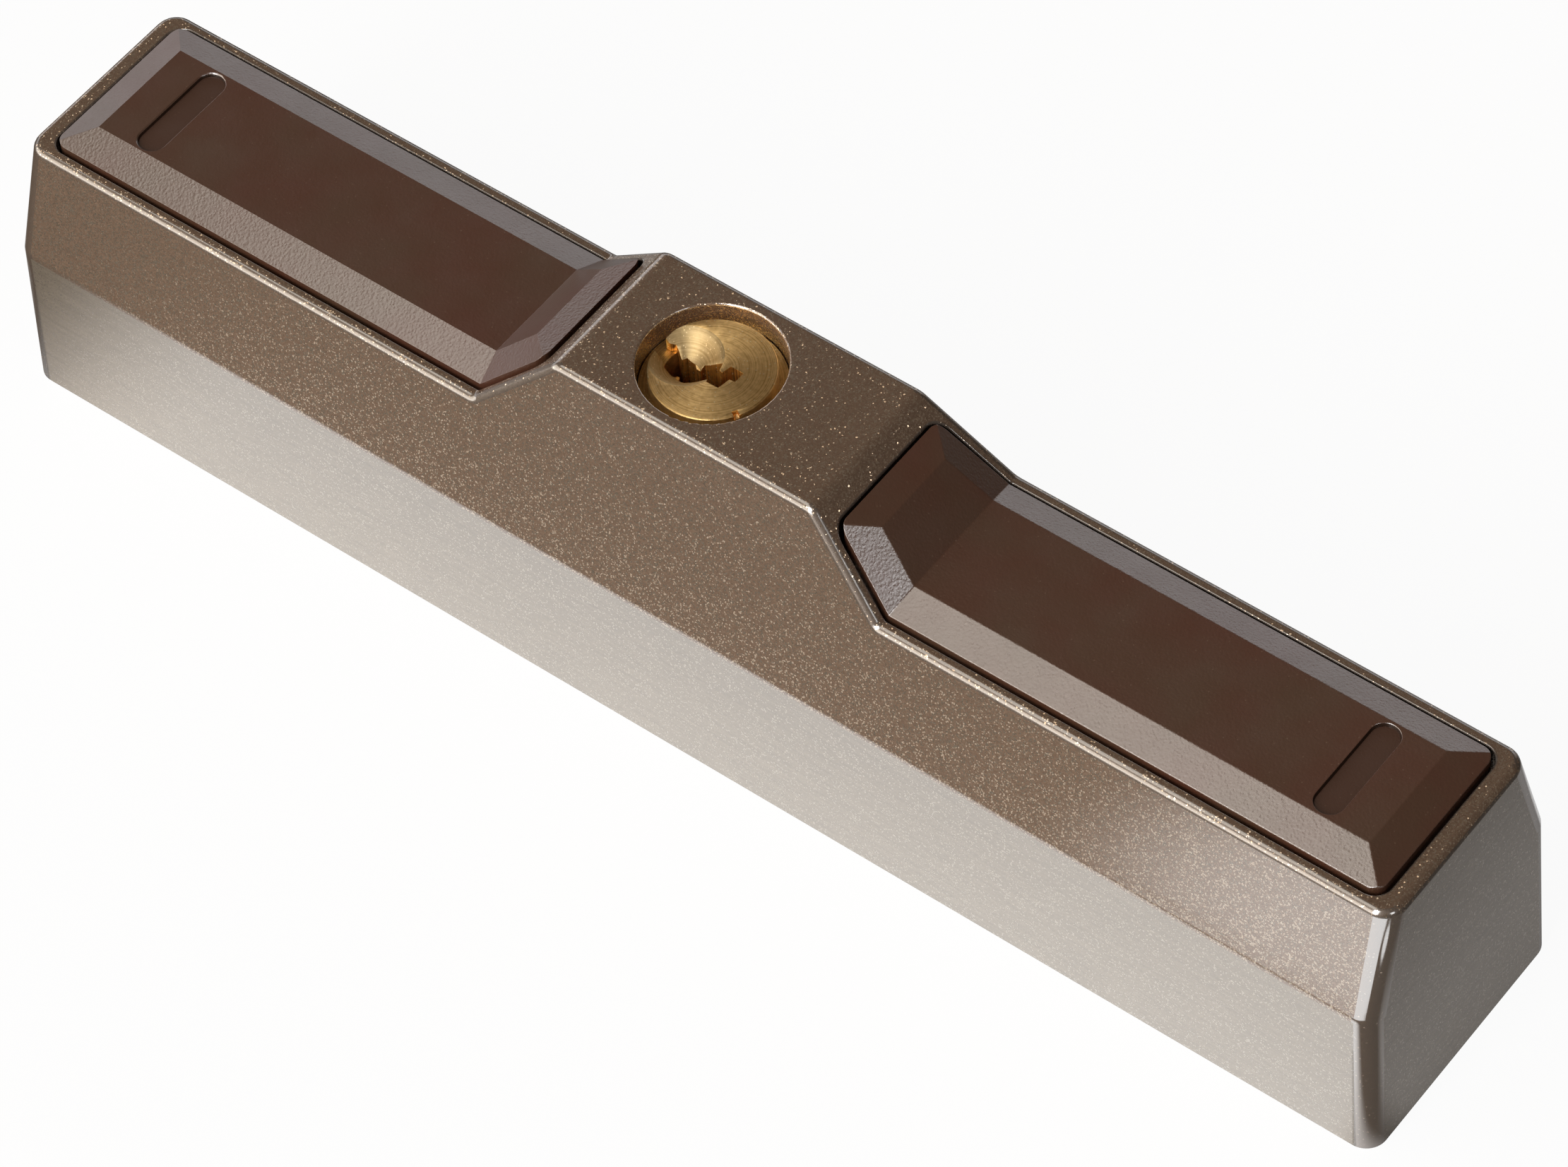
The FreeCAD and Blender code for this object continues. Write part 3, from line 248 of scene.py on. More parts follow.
class Graph(NodeTree):
    """A new material's node tree, with helpers for patterns on the object's own coordinates."""

    def __init__(self, name: str) -> None:
        """Start an empty material of this name with its surface shader.

        Args:
            name: Name of the material.
        """
        self.material = bpy.data.materials.new(name)
        self.material.use_nodes = True
        super().__init__(self.material.node_tree)
        self.shader = self.tree.nodes["Principled BSDF"]
        self.place = self.add("ShaderNodeTexCoord").outputs["Object"]

    def constants(self, **values: float) -> None:
        """Set plain values of the surface shader, its sockets' names written with underscores."""
        for name, value in values.items():
            self.shader.inputs[name.replace("_", " ")].default_value = value

    def noise(self, size: float, detail: float = 2.0, stretch: Colour = (1.0, 1.0, 1.0)) -> Socket:
        """Add a noise pattern.

        Args:
            size: Size of its blotches, in metres.
            detail: Number of finer octaves.
            stretch: Scale along each axis; below 1 draws the pattern out.

        Returns:
            The pattern's value.
        """
        mapping = self.add("ShaderNodeMapping")
        mapping.inputs["Scale"].default_value = stretch
        self.join(self.place, mapping.inputs["Vector"])
        noise = self.add("ShaderNodeTexNoise")
        noise.inputs["Scale"].default_value = 1.0 / size
        noise.inputs["Detail"].default_value = detail
        self.join(mapping.outputs["Vector"], noise.inputs["Vector"])
        return noise.outputs["Fac"]

    def cells(self, size: float, feature: str = "F1") -> bpy.types.Node:
        """Add a pattern of irregular cells.

        Args:
            size: Size of a cell, in metres.
            feature: Blender's name of the distance that the pattern gives.

        Returns:
            The Voronoi node.
        """
        node = self.add("ShaderNodeTexVoronoi", feature=feature)
        node.inputs["Scale"].default_value = 1.0 / size
        self.join(self.place, node.inputs["Vector"])
        return node

    def ramp(self, value: Socket, stops: list[tuple[float, Colour]]) -> Socket:
        """Turn a value into a colour.

        Args:
            value: Value from 0 to 1.
            stops: Places and colours along the ramp, two at the least.

        Returns:
            The colour's output.
        """
        node = self.add("ShaderNodeValToRGB")
        elements = node.color_ramp.elements
        while len(elements) < len(stops):
            elements.new(0.5)
        for element, (place, colour) in zip(elements, stops):
            element.position = place
            element.color = (*colour, 1.0)
        self.join(value, node.inputs["Fac"])
        return node.outputs["Color"]

    def bump(self, height: Socket, rise: float, under: Socket | None = None) -> Socket:
        """Add a bump, alone or on top of another normal.

        Args:
            height: Pattern from 0 to 1.
            rise: Height of the pattern, in metres.
            under: Normal that the bump is laid over.

        Returns:
            The new normal.
        """
        node = self.add("ShaderNodeBump")
        node.inputs["Distance"].default_value = rise
        self.join(height, node.inputs["Height"])
        if under is not None:
            self.join(under, node.inputs["Normal"])
        return node.outputs["Normal"]

    def tilt_cells(self, cells: bpy.types.Node, amount: Socket, under: Socket) -> Socket:
        """Lean the normal a little a different way in each cell.

        Args:
            cells: Voronoi node whose cells lean.
            amount: How far they lean, 1 being half a right angle.
            under: Normal before the lean.

        Returns:
            The leaning normal.
        """
        centred = self.add("ShaderNodeVectorMath", operation="SUBTRACT")
        self.join(cells.outputs["Color"], centred.inputs[0])
        centred.inputs[1].default_value = (0.5, 0.5, 0.5)
        scaled = self.add("ShaderNodeVectorMath", operation="SCALE")
        self.join(centred.outputs[0], scaled.inputs[0])
        self.join(amount, scaled.inputs["Scale"])
        total = self.add("ShaderNodeVectorMath", operation="ADD")
        self.join(scaled.outputs[0], total.inputs[0])
        self.join(under, total.inputs[1])
        unit = self.add("ShaderNodeVectorMath", operation="NORMALIZE")
        self.join(total.outputs[0], unit.inputs[0])
        return unit.outputs[0]

    def from_axis(self, x: float, y: float) -> Socket:
        """Give the level vector from an upright axis to the shaded point.

        Args:
            x: Place of the axis along X, in metres.
            y: Place of the axis along Y, in metres.

        Returns:
            The vector's output.
        """
        mapping = self.add("ShaderNodeMapping")
        mapping.inputs["Location"].default_value = (-x, -y, 0.0)
        mapping.inputs["Scale"].default_value = (1.0, 1.0, 0.0)
        self.join(self.place, mapping.inputs["Vector"])
        return mapping.outputs["Vector"]

    def length(self, vector: Socket) -> Socket:
        """Measure a vector.

        Args:
            vector: Vector to measure.

        Returns:
            Its length.
        """
        node = self.add("ShaderNodeVectorMath", operation="LENGTH")
        self.join(vector, node.inputs[0])
        return node.outputs["Value"]


# Finishes


@dataclass(frozen=True)
class FlakeCoat:
    """Metallic bronze powder coat: glossy clear over dark brown with fine bright flakes."""

    name: str = "bronze_flake_coat"
    dark: Colour = (0.235, 0.150, 0.098)
    middle: Colour = (0.340, 0.230, 0.158)
    gold: Colour = (0.56, 0.41, 0.28)
    white: Colour = (0.72, 0.61, 0.48)
    flake: float = 0.13 * MM
    lean: float = 0.14
    glint_lean: float = 0.54
    glint_share: float = 0.32
    peel: float = 1.1 * MM
    peel_stretch: Colour = (0.35, 0.35, 1.0)
    peel_rise: float = 0.015 * MM
    gloss: float = 3.2
    haze: float = 0.15
    cloud: float = 5.0 * MM
    cloud_share: float = 0.25
    # dark streaks drawn out along X in the base colour: painted ripples of reflection, used on the walls
    streak: float = 0.5 * MM
    streak_stretch: Colour = (0.1, 0.1, 1.0)
    streak_shade: Colour = (0.05, 0.035, 0.025)
    streak_share: float = 0.0
    ground_roughness: float = 0.58
    glint_roughness: float = 0.14
    metal: float = 0.85

    def build(self) -> Material:
        """Make the material.

        Returns:
            The material.
        """
        g = Graph(self.name)
        flakes = g.cells(self.flake)
        split = g.add("ShaderNodeSeparateColor")
        g.join(flakes.outputs["Color"], split.inputs["Color"])
        cloud = g.maths("MULTIPLY", g.noise(self.cloud, detail=3.0), self.cloud_share)
        ground = g.blend(split.outputs["Red"], self.dark, self.middle)
        ground = g.blend(cloud, ground, self.dark)
        # painted ripples of reflection: dark streaks mixed into the base colour
        drawn = g.noise(self.streak, detail=3.0, stretch=self.streak_stretch)
        streaks = g.maths("MULTIPLY", drawn, self.streak_share)
        ground = g.blend(streaks, ground, self.streak_shade)
        glint = g.maths("LESS_THAN", split.outputs["Green"], self.glint_share)
        metal = g.blend(split.outputs["Blue"], self.gold, self.white)
        g.join(g.blend(glint, ground, metal), g.shader.inputs["Base Color"])
        peel = g.bump(g.noise(self.peel, stretch=self.peel_stretch), self.peel_rise)
        lean = g.spread(glint, self.lean, self.glint_lean)
        g.join(g.tilt_cells(flakes, lean, peel), g.shader.inputs["Normal"])
        g.join(g.spread(glint, self.ground_roughness, self.glint_roughness), g.shader.inputs["Roughness"])
        g.join(peel, g.shader.inputs["Coat Normal"])
        g.constants(Metallic=self.metal, Coat_Weight=1.0, Coat_Roughness=self.haze, Coat_IOR=self.gloss)
        return g.material


@dataclass(frozen=True)
class LeatherGrainPlastic:
    """Dark brown moulded plastic with a fine leather grain."""

    name: str = "brown_grained_plastic"
    deep: Colour = (0.078, 0.0235, 0.0110)
    worn: Colour = (0.074, 0.0345, 0.0175)
    blotch: float = 9.0 * MM
    blotch_stops: Pair = (0.35, 0.70)
    grain: float = 0.26 * MM
    grain_rise: float = 0.018 * MM
    pitting: float = 0.20 * MM
    pitting_rise: float = 0.012 * MM
    speck: float = 0.8 * MM
    speck_reach: float = 0.08
    speck_share: float = 0.5
    dust: Colour = (0.20, 0.13, 0.09)
    patch: float = 4.0 * MM
    roughness: Pair = (0.26, 0.36)
    gloss: float = 2.7

    def build(self) -> Material:
        """Make the material.

        Returns:
            The material.
        """
        g = Graph(self.name)
        stops = list(zip(self.blotch_stops, (self.deep, self.worn)))
        ground = g.ramp(g.noise(self.blotch, detail=4.0), stops)
        specks = g.maths("LESS_THAN", g.cells(self.speck).outputs["Distance"], self.speck_reach)
        tone = g.blend(g.maths("MULTIPLY", specks, self.speck_share), ground, self.dust)
        g.join(tone, g.shader.inputs["Base Color"])
        grained = g.bump(g.cells(self.grain, "SMOOTH_F1").outputs["Distance"], self.grain_rise)
        pitted = g.bump(g.noise(self.pitting), self.pitting_rise, grained)
        g.join(pitted, g.shader.inputs["Normal"])
        patches = g.noise(self.patch, detail=3.0)
        g.join(g.spread(patches, *self.roughness), g.shader.inputs["Roughness"])
        g.constants(IOR=self.gloss)
        return g.material


@dataclass(frozen=True)
class TurnedBrass:
    """Bright brass with lathe marks round an upright axis."""

    name: str
    centre: RingCentre
    light: Colour = (1.0, 0.71, 0.32)
    dark: Colour = (0.72, 0.46, 0.17)
    tone_stops: Pair = (0.36, 0.58)
    ring: float = 0.15 * MM
    ring_detail: float = 3.0
    ring_unevenness: float = 0.6
    ring_share: float = 0.6
    ring_rise: float = 0.008 * MM
    patch: float = 0.45 * MM
    patch_share: float = 0.4
    speck: float = 0.42 * MM
    speck_reach: float = 0.16
    speck_share: float = 0.7
    glitter: Colour = (1.0, 0.84, 0.52)
    scuff: float = 0.2 * MM
    scuff_rise: float = 0.005 * MM
    roughness: float = 0.42
    roughness_swing: Pair = (-0.06, 0.08)
    spread: float = 0.65
    metal: float = 1.0

    def lathe_marks(self, g: Graph, outward: Socket) -> Socket:
        """Add fine rings of uneven strength round the axis.

        Args:
            g: Graph of the material.
            outward: Level vector from the axis.

        Returns:
            The rings' value.
        """
        marks = g.add("ShaderNodeTexNoise", noise_dimensions="1D")
        marks.inputs["Scale"].default_value = 1.0 / self.ring
        marks.inputs["Detail"].default_value = self.ring_detail
        marks.inputs["Roughness"].default_value = self.ring_unevenness
        g.join(g.length(outward), marks.inputs["W"])
        return marks.outputs["Fac"]

    def build(self) -> Material:
        """Make the material.

        Returns:
            The material.
        """
        g = Graph(self.name)
        x, y = self.centre.value
        outward = g.from_axis(x * MM, y * MM)
        marks = self.lathe_marks(g, outward)
        patches = g.noise(self.patch, detail=4.0)
        ring_part = g.maths("MULTIPLY", marks, self.ring_share)
        tone = g.maths("ADD", ring_part, g.maths("MULTIPLY", patches, self.patch_share))
        ground = g.ramp(tone, list(zip(self.tone_stops, (self.dark, self.light))))
        specks = g.maths("LESS_THAN", g.cells(self.speck).outputs["Distance"], self.speck_reach)
        specks = g.maths("MULTIPLY", specks, self.speck_share)
        g.join(g.blend(specks, ground, self.glitter), g.shader.inputs["Base Color"])
        rings = g.bump(marks, self.ring_rise)
        scuffs = g.bump(g.noise(self.scuff, detail=3.0), self.scuff_rise, rings)
        g.join(scuffs, g.shader.inputs["Normal"])
        low, high = (self.roughness + swing for swing in self.roughness_swing)
        g.join(g.spread(patches, low, high), g.shader.inputs["Roughness"])
        turned = g.add("ShaderNodeVectorTransform", vector_type="VECTOR")
        turned.convert_from = "OBJECT"
        turned.convert_to = "WORLD"
        g.join(outward, turned.inputs[0])
        g.join(turned.outputs[0], g.shader.inputs["Tangent"])
        g.constants(Anisotropic=self.spread, Metallic=self.metal)
        return g.material


@dataclass(frozen=True)
class WorkedSteel:
    """Plain or zinc-plated steel with fine directional marks."""

    name: str
    colour: Colour
    dull: Colour
    stretch: Colour = (0.08, 1.0, 1.0)
    roughness: float = 0.34
    roughness_swing: Pair = (-0.08, 0.10)
    mark: float = 0.35 * MM
    mark_rise: float = 0.004 * MM
    mark_share: float = 0.5
    cloud: float = 7.0 * MM
    tone_stops: Pair = (0.35, 0.65)

    def build(self) -> Material:
        """Make the material.

        Returns:
            The material.
        """
        g = Graph(self.name)
        marks = g.noise(self.mark, detail=3.0, stretch=self.stretch)
        cloud = g.noise(self.cloud, detail=3.0)
        mark_part = g.maths("MULTIPLY", marks, self.mark_share)
        tone = g.maths("ADD", mark_part, g.maths("MULTIPLY", cloud, 1.0 - self.mark_share))
        stops = list(zip(self.tone_stops, (self.dull, self.colour)))
        g.join(g.ramp(tone, stops), g.shader.inputs["Base Color"])
        g.join(g.bump(marks, self.mark_rise), g.shader.inputs["Normal"])
        low, high = (self.roughness + swing for swing in self.roughness_swing)
        g.join(g.spread(cloud, low, high), g.shader.inputs["Roughness"])
        g.constants(Metallic=1.0)
        return g.material


@dataclass(frozen=True)
class PaintedLightPool:
    """A round patch of painted light on the floor, seen in reflections."""

    x: float
    y: float
    full: float
    end: float

    def share(self, g: Graph) -> Socket:
        """Give 1 inside the patch, falling to 0 past its edge."""
        return g.step(g.length(g.from_axis(self.x, self.y)), self.end, self.full)


@dataclass(frozen=True)
class PaleFloor:
    """White studio floor: white to the eye; for what reflects it, painted with patches of light beside the
    lock and with painted shade elsewhere.
    """

    name: str = "pale_floor"
    colour: Colour = (0.90, 0.90, 0.90)
    # painted shade: the floor's colour away from the painted patches of light, seen only by bounced light
    # and reflections
    unlit_floor_painted_shade: Colour = (0.11, 0.10, 0.09)
    # share of emission: white to the eye, painted light that reflections see in the patches
    lift: float = 0.94
    strip_rise: Pair = (9.0 * MM, 15.0 * MM)
    strip_fall: Pair = (42.0 * MM, 29.0 * MM)
    strip_left: Pair = (-90.0 * MM, -58.0 * MM)
    strip_right: Pair = (82.0 * MM, 74.0 * MM)
    near_pool: PaintedLightPool = PaintedLightPool(84.0 * MM, -64.0 * MM, 32.0 * MM, 60.0 * MM)
    near_pool_edge: float = -44.0 * MM
    side_pool: PaintedLightPool = PaintedLightPool(114.0 * MM, -34.0 * MM, 4.0 * MM, 8.0 * MM)
    ends_fall: Pair = (110.0 * MM, 82.0 * MM)
    ends_edge: float = -14.0 * MM
    ends_level: float = 0.20
    border: float = 7.0 * MM

    def painted_light_share(self, g: Graph) -> Socket:
        """Give the share of painted light: 1 on the strips along the lock and in the pools, less past its
        ends, and 0 elsewhere.

        Args:
            g: Graph of the floor's material.

        Returns:
            The share of light.
        """
        split = g.add("ShaderNodeSeparateXYZ")
        g.join(g.place, split.inputs[0])
        along, across = split.outputs["X"], split.outputs["Y"]
        aside = g.maths("ABSOLUTE", across, 0.0)
        strip = g.maths("MULTIPLY", g.step(aside, *self.strip_rise), g.step(aside, *self.strip_fall))
        for start, end in (self.strip_left, self.strip_right):
            strip = g.maths("MULTIPLY", strip, g.step(along, start, end))
        before = g.step(across, self.near_pool_edge, self.near_pool_edge - self.border)
        near = g.maths("MULTIPLY", self.near_pool.share(g), before)
        beyond = g.step(g.maths("ABSOLUTE", along, 0.0), *self.ends_fall)
        behind = g.step(across, self.ends_edge, self.ends_edge + self.border)
        ends = g.maths("MULTIPLY", g.maths("MULTIPLY", beyond, self.ends_level), behind)
        return g.greatest(strip, near, ends, self.side_pool.share(g))

    def build(self) -> Material:
        """Make the material.

        Returns:
            The material.
        """
        g = Graph(self.name)
        path = g.add("ShaderNodeLightPath")
        # the eye sees the floor white; other rays see the painted patches of light and the painted shade
        lit = g.greatest(self.painted_light_share(g), path.outputs["Is Camera Ray"])
        g.join(g.blend(lit, self.unlit_floor_painted_shade, self.colour), g.shader.inputs["Base Color"])
        g.constants(Roughness=1.0, Specular_IOR_Level=0.0)
        rays = ("Is Camera Ray", "Is Glossy Ray", "Is Transmission Ray")
        seen = g.greatest(*(path.outputs[ray] for ray in rays))
        # emission: white backdrop to the eye, painted light in reflections
        glow = g.add("ShaderNodeEmission")
        glow.inputs["Strength"].default_value = 1.0
        mix = g.add("ShaderNodeMixShader")
        g.join(g.maths("MULTIPLY", g.maths("MULTIPLY", seen, lit), self.lift), mix.inputs["Fac"])
        g.join(g.shader.outputs["BSDF"], mix.inputs[1])
        g.join(glow.outputs["Emission"], mix.inputs[2])
        g.join(mix.outputs["Shader"], g.tree.nodes["Material Output"].inputs["Surface"])
        return g.material


# Meshes


def merged_copy(source: bpy.types.Object) -> BodyMesh:
    """Copy a solid's mesh with its doubled corners merged.

    Args:
        source: Node of the frame.

    Returns:
        The copy.
    """
    bm = bmesh.new()
    bm.from_mesh(source.data)
    bmesh.ops.remove_doubles(bm, verts=bm.verts, dist=MERGE_GAP)
    return bm


def whole_faced_copy(source: bpy.types.Object) -> BodyMesh:
    """Copy a solid's mesh with its flat faces made whole.

    Args:
        source: Node of the frame.

    Returns:
        The copy.
    """
    bm = merged_copy(source)
    bmesh.ops.dissolve_limit(
        bm, angle_limit=FLAT_ANGLE, verts=bm.verts, edges=bm.edges, delimit={"NORMAL"}
    )
    return bm


def finished(bm: BodyMesh, name: str, crease: float) -> bpy.types.Object:
    """Turn a worked mesh into an object with smooth faces and crisp creases.

    Args:
        bm: Mesh to use up.
        name: Name of the new object.
        crease: Angle in degrees above which an edge stays crisp.

    Returns:
        The new object.
    """
    mesh = bpy.data.meshes.new(name)
    bmesh.ops.recalc_face_normals(bm, faces=bm.faces)
    bm.to_mesh(mesh)
    bm.free()
    mesh.polygons.foreach_set("use_smooth", [True] * len(mesh.polygons))
    mesh.set_sharp_from_angle(angle=math.radians(crease))
    piece = bpy.data.objects.new(name, mesh)
    bpy.context.scene.collection.objects.link(piece)
    weighted = piece.modifiers.new("even_shading", "WEIGHTED_NORMAL")
    weighted.keep_sharp = True
    weighted.weight = BIG_FACE_WEIGHT
    return piece


def soften(bm: BodyMesh, edges: list[Edge], width: float, steps: int) -> list[Face]:
    """Round edges over.

    Args:
        bm: Mesh to work on.
        edges: Edges to round.
        width: Setback of the rounding, in metres.
        steps: Number of strips in the rounding.

    Returns:
        The faces of the rounding.
    """
    result = bmesh.ops.bevel(
        bm, geom=edges, offset=width, offset_type="OFFSET", segments=steps, profile=0.5,
        affect="EDGES", clamp_overlap=True, loop_slide=True, material=-1,
    )
    return result["faces"]


def fold(edge: Edge) -> float:
    """Give the angle in degrees between an edge's two faces, 0 where they lie flat."""
    return math.degrees(edge.calc_face_angle(0.0)) if len(edge.link_faces) == 2 else 0.0


def stand_in(piece: bpy.types.Object, body: Body, node: str, finishes: list[Material]) -> None:
    """Let a piece ride on a body in the place of a node, and give it its finishes.

    Args:
        piece: The new piece.
        body: Body that it moves with.
        node: Node that it stands for.
        finishes: Its materials, in the order that its faces number them.
    """
    for finish in finishes:
        piece.data.materials.append(finish)
    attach(piece, body.value)
    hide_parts(node)


# Sub-assemblies


@dataclass
class Casting:
    """Die-cast case, its pocket mouths and shoulders rounded over and its coats told apart, with a painted
    sheen on the steep walls and painted shade on the pocket walls.

    Fields that end in up, or in share, are limits for the upward or a level part of a face's normal.
    """

    frame: dict
    pocket_start: float = 15.0 * MM
    pocket_half_width: float = 9.9 * MM
    pocket_floor: float = 28.3 * MM
    wing_height: float = WING_HEIGHT
    shoulder_from: float = 13.0 * MM
    shoulder_above: float = 15.0 * MM
    wall_from: float = 14.0 * MM
    end_from: float = 78.5 * MM
    corner_from: float = 77.0 * MM
    edge_from: float = 7.3 * MM
    margin: float = 0.05 * MM
    level_margin: float = 0.01 * MM
    mouth_wall_up: float = 0.1
    mouth_top_up: float = 0.6
    shoulder_fold: float = 8.0
    upright_up: float = 0.06
    corner_up: float = 0.30
    edge_up: float = 0.98
    wall_share: float = 0.99
    corner_share: float = 0.05
    edge_share: float = 0.10
    mouth_round: float = 0.42 * MM
    mouth_steps: int = 4
    shoulder_round: float = 0.35 * MM
    shoulder_steps: int = 2
    crease: float = 32.0

    def is_mouth(self, edge: Edge) -> bool:
        """Tell whether an edge runs round the mouth of a cover pocket.

        Args:
            edge: Edge to test.

        Returns:
            True for an edge between a pocket's upright wall and the top.
        """
        if len(edge.link_faces) != 2:
            return False
        middle = (edge.verts[0].co + edge.verts[1].co) / 2
        flat, steep = sorted((abs(face.normal.z) for face in edge.link_faces), reverse=True)
        inside = abs(middle.y) < self.pocket_half_width and abs(middle.x) > self.pocket_start
        folded = steep < self.mouth_wall_up and flat > self.mouth_top_up
        return inside and folded and middle.z > self.wing_height - self.margin

    def is_shoulder(self, edge: Edge) -> bool:
        """Tell whether an edge lies between the steep lower wall and the leaning facet.

        Args:
            edge: Edge to test.

        Returns:
            True for a level, folded edge high on the outside.
        """
        outside = all(abs(vert.co.y) > self.shoulder_from for vert in edge.verts)
        first, second = (vert.co.z for vert in edge.verts)
        level = abs(first - second) < self.level_margin and first > self.shoulder_above
        return outside and level and fold(edge) > self.shoulder_fold

    def coat_part(self, face: Face) -> CoatPart:
        """Tell which part of the casting a face belongs to, the pocket mouths left aside.

        Args:
            face: Face to test.

        Returns:
            The part.
        """
        middle = face.calc_center_median()
        x, y = abs(middle.x), abs(middle.y)
        along, across, up = (abs(share) for share in face.normal)
        upright = up < self.upright_up
        side_wall = y > self.wall_from and across > self.wall_share
        end_wall = x > self.end_from and along > self.wall_share
        # steep outside walls and end faces: the coat with the painted sheen
        if upright and (side_wall or end_wall):
            return CoatPart.WALL
        turned = min(along, across) > self.corner_share
        if up < self.corner_up and turned and x > self.corner_from:
            return CoatPart.CORNER
        long_edge = y > self.edge_from and across > self.edge_share and up > self.corner_up
        end_edge = x > self.end_from and along > self.edge_share and up > self.upright_up
        if up < self.edge_up and (long_edge or end_edge):
            return CoatPart.RIM
        in_pocket = x > self.pocket_start and y < self.pocket_half_width
        # upright pocket walls: the near-black painted shade
        if upright and in_pocket and middle.z > self.pocket_floor:
            return CoatPart.POCKET
        return CoatPart.FACET

    def build(self) -> bpy.types.Object:
        """Make the casting.

        Returns:
            The casting.
        """
        bm = whole_faced_copy(self.frame["nodes"]["housing"])
        mouths = [edge for edge in bm.edges if self.is_mouth(edge)]
        LOG.info("pocket mouths: %d edges", len(mouths))
        rims = set(soften(bm, mouths, self.mouth_round, self.mouth_steps))
        shoulders = [edge for edge in bm.edges if self.is_shoulder(edge)]
        LOG.info("shoulders: %d edges", len(shoulders))
        soften(bm, shoulders, self.shoulder_round, self.shoulder_steps)
        for face in bm.faces:
            part = CoatPart.RIM if face in rims else self.coat_part(face)
            face.material_index = part.value
        return finished(bm, "case_casting", self.crease)

    def dress(self, coats: dict[CoatPart, Material]) -> list[bpy.types.Object]:
        """Build the casting and give it its coats.

        Args:
            coats: Coat of each part.

        Returns:
            The piece.
        """
        casting = self.build()
        stand_in(casting, Body.CASE, "housing", [coats[part] for part in CoatPart])
        return [casting]


@dataclass
class ScrewCovers:
    """The two snap-in covers, their mitred edges rounded over, their oval fields sunk and the fields'
    walls given painted shade.
    """

    frame: dict
    wing_height: float = WING_HEIGHT
    edge_depth: float = 2.0 * MM
    edge_fold: float = 14.0
    edge_round: float = 0.09 * MM
    edge_steps: int = 3
    badge_middle: float = 67.7 * MM
    badge_half_width: float = 1.5 * MM
    badge_reach: float = 4.4 * MM
    badge_margin: float = 0.1 * MM
    badge_slope: float = 0.12 * MM
    badge_drop: float = 0.08 * MM
    badge_scale: float = 0.97
    badge_round: float = 0.10 * MM
    rim_depth: float = 0.05 * MM
    rim_fold: float = 40.0
    field_up: float = 0.9
    crease: float = 28.0

    def from_badge(self, point: Vector) -> Vector:
        """Give the level vector from the oval field's middle line to a point.

        Args:
            point: Point to measure.

        Returns:
            The vector.
        """
        x = math.copysign(self.badge_middle, point.x)
        y = max(-self.badge_reach, min(self.badge_reach, point.y))
        return Vector((point.x - x, point.y - y))

    def by_badge(self, point: Vector) -> bool:
        """Tell whether a point lies at the sunk oval field or its rim."""
        away = self.from_badge(point).length
        return away < self.badge_half_width + self.badge_margin and point.z > self.wing_height

    def sink_badge(self, bm: BodyMesh) -> None:
        """Deepen the oval field, lean its walls and round its rim, within the cover's flat; its sunk walls
        take a near-black plastic as painted shade.

        Args:
            bm: Mesh of the cover.
        """
        around = [vert for vert in bm.verts if self.by_badge(vert.co)]
        top = max(vert.co.z for vert in around)
        for vert in around:
            if vert.co.z < top - self.badge_margin:
                inward = -self.from_badge(vert.co).normalized() * self.badge_slope
                vert.co += Vector((inward.x, inward.y, -self.badge_drop))
            vert.co.y *= self.badge_scale
        low = top - self.rim_depth
        level = {vert for vert in around if vert.co.z > low}
        folded = [edge for edge in bm.edges if fold(edge) > self.rim_fold]
        rim = [edge for edge in folded if level.issuperset(edge.verts)]
        LOG.info("badge rim: %d edges", len(rim))
        soften(bm, rim, self.badge_round, 1)
        for face in bm.faces:
            sunk = face.calc_center_median().z < low
            if sunk and all(self.by_badge(vert.co) for vert in face.verts):
                # sunk walls: near-black plastic, painted shade in the recess
                part = CoverPart.FIELD if face.normal.z > self.field_up else CoverPart.FIELD_WALL
                face.material_index = part.value

    def is_mitre(self, edge: Edge) -> bool:
        """Tell whether an edge is one of the cover's visible folded edges.

        Args:
            edge: Edge to test.

        Returns:
            True for a folded edge near the top and away from the oval field.
        """
        low = self.wing_height - self.edge_depth
        clear = all(vert.co.z > low and not self.by_badge(vert.co) for vert in edge.verts)
        return clear and fold(edge) > self.edge_fold

    def build(self, side: str) -> bpy.types.Object:
        """Make one cover.

        Args:
            side: Which cover, left or right.

        Returns:
            The cover.
        """
        bm = whole_faced_copy(self.frame["nodes"]["cover_" + side])
        self.sink_badge(bm)
        mitres = [edge for edge in bm.edges if self.is_mitre(edge)]
        soften(bm, mitres, self.edge_round, self.edge_steps)
        return finished(bm, "screw_cover_" + side, self.crease)

    def dress(self, plastics: dict[CoverPart, Material]) -> list[bpy.types.Object]:
        """Build both covers and give them their finishes.

        Args:
            plastics: Plastic of each part.

        Returns:
            The covers.
        """
        pieces = []
        for side in ("left", "right"):
            cover = self.build(side)
            rows = [plastics[part] for part in CoverPart]
            stand_in(cover, Body.CASE, "cover_" + side, rows)
            pieces.append(cover)
        return pieces


